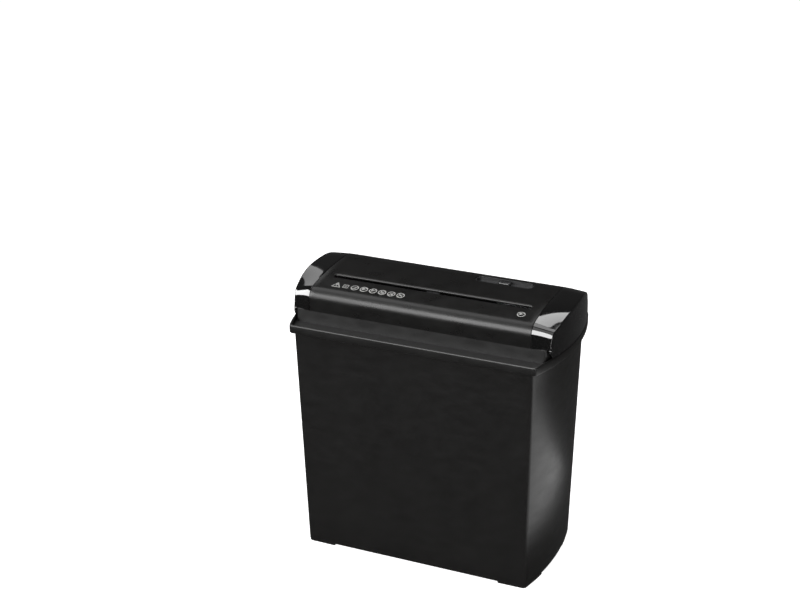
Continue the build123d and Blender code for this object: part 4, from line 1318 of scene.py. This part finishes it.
# ------------------------------------------------------------------ studio
@dataclass(frozen=True)
class Panel:
    """A soft light panel."""

    name: str
    at: Colour
    aim: Colour
    width: float
    height: float
    power: float
    on_gloss: bool = True
    on_matt: bool = True

    def build(self) -> None:
        """Hang the panel."""
        data = bpy.data.lights.new(self.name, "AREA")
        data.shape = "RECTANGLE"
        data.size, data.size_y = self.width, self.height
        data.energy = self.power
        light = bpy.data.objects.new(self.name, data)
        light.location = self.at
        light.visible_camera = False
        light.visible_glossy = self.on_gloss
        light.visible_diffuse = self.on_matt
        light.rotation_euler = (Vector(self.aim) - Vector(self.at)).to_track_quat("-Z", "Y").to_euler()
        bpy.context.scene.collection.objects.link(light)


@dataclass
class Studio:
    """Pale floor, white surround, soft panels and the camera."""

    camera_at: Colour = (0.6475, -1.4990, 0.9434)
    pitch: float = 67.8
    heading: float = 23.7
    lens: float = 76.97
    shift: float = -0.0385
    floor_half: float = 6.0
    surround: float = 0.06
    panels: tuple[Panel, ...] = (
        Panel("fill_panel", (-0.75, -1.9, 0.95), (0, 0, 0.3), 1.6, 0.9, 30, on_gloss=False),
        Panel("front_panel", (0.2, -2.3, 1.35), (0, 0, 0.28), 3.2, 1.6, 230, on_matt=False),
        Panel("left_panel", (-2.2, -1.3, 1.25), (0, 0, 0.28), 2.2, 1.6, 155, on_matt=False),
        Panel("top_panel", (-0.2, 0.1, 1.75), (-0.2, 0.1, 0), 2.6, 0.9, 24),
        Panel("mid_panel", (-0.2, -1.0, 1.9), (0, 0, 0.28), 2.6, 1.0, 12, on_matt=False),
        Panel("right_patch", (0.1, 0.95, 1.75), (0.1, 0.95, 0), 0.6, 0.6, 6, on_matt=False),
        Panel("left_patch", (-2.0, 2.0, 1.75), (0, 0, 0.28), 0.8, 0.9, 3, on_matt=False),
        Panel("side_panel", (1.7, -0.9, 0.35), (0.13, -0.06, 0.14), 0.25, 0.9, 8),
        Panel("floor_panel", (0.48, 0.02, 0.004), (0.48, 0.02, 1.0), 0.56, 0.36, 1.0, on_matt=False),
    )

    def build(self) -> None:
        """Build the stage, the lights and the camera."""
        self.build_floor()
        self.build_world()
        for panel in self.panels:
            panel.build()
        data = bpy.data.cameras.new("camera")
        data.sensor_width = 36
        data.lens = self.lens
        data.shift_x = self.shift
        camera = bpy.data.objects.new("camera", data)
        camera.location = self.camera_at
        camera.rotation_euler = (math.radians(self.pitch), 0, math.radians(self.heading))
        bpy.context.scene.collection.objects.link(camera)
        bpy.context.scene.camera = camera
        bpy.context.scene.view_settings.view_transform = "Standard"

    def build_floor(self) -> None:
        """Lay the pale floor."""
        h = self.floor_half
        floor = make_piece("floor", [(-h, -h, 0), (h, -h, 0), (h, h, 0), (-h, h, 0)], [(0, 1, 2, 3)])
        nodes = Nodes("floor_paper")
        nodes.tint(nodes.noise(0.4), (0.86, 0.86, 0.86), (0.88, 0.88, 0.88))
        nodes.surface(Roughness=0.9, Specular_IOR_Level=0.1,
                      Emission_Color=(1, 1, 1, 1), Emission_Strength=0.9)
        floor.data.materials.append(nodes.material)
        floor.visible_glossy = False

    def build_world(self) -> None:
        """Surround the object with white that its gloss sees only dimly."""
        world = bpy.data.worlds.new("surround")
        world.use_nodes = True
        nodes = Tree(world.node_tree)
        seen = nodes.add("ShaderNodeLightPath").outputs["Is Camera Ray"]
        mix = nodes.add("ShaderNodeMapRange", {0: seen, 3: self.surround, 4: 1.0})
        background = world.node_tree.nodes["Background"]
        nodes.feed(background.inputs["Strength"], mix.outputs[0])
        nodes.feed(background.inputs["Color"], (1, 1, 1, 1))
        bpy.context.scene.world = world


def dress_frame() -> None:
    """Give every CAD node its finish."""
    slots = {part["node"]: part["material_slot"] for part in frame["record"]["subparts"]}
    for name, node in frame["nodes"].items():
        node.data.materials.clear()
        node.data.materials.append(Paint.of(slots[name]))
        smooth(node, 28)


def downwards(low: Vector, high: Vector) -> tuple[int, int]:
    """Aim of the screws whose heads face down: their axis number and side."""
    return 2, -1


def outwards(low: Vector, high: Vector) -> tuple[int, int]:
    """Aim of the screws that lie along X with their heads away from the middle."""
    return 0, 1 if low.x + high.x > 0 else -1


def main() -> None:
    """Build everything, piece by piece."""
    logging.basicConfig(level=logging.INFO, format="%(name)s: %(message)s")
    dress_frame()
    Bin().build()
    Cover().build()
    for side in (-1, 1):
        EndCap(side).build()
    Pictograms().build()
    tree = instancing_tree()
    ModeKnob().build(tree)
    screws = Screws(tree)
    screws.build("housing_screws", "head", downwards)
    screws.build("board_screws", "head", downwards)
    screws.build("frame_screws", "head", outwards)
    screws.build("motor_screws", "head", outwards)
    Studio().build()


if __name__ == "__main__":
    main()
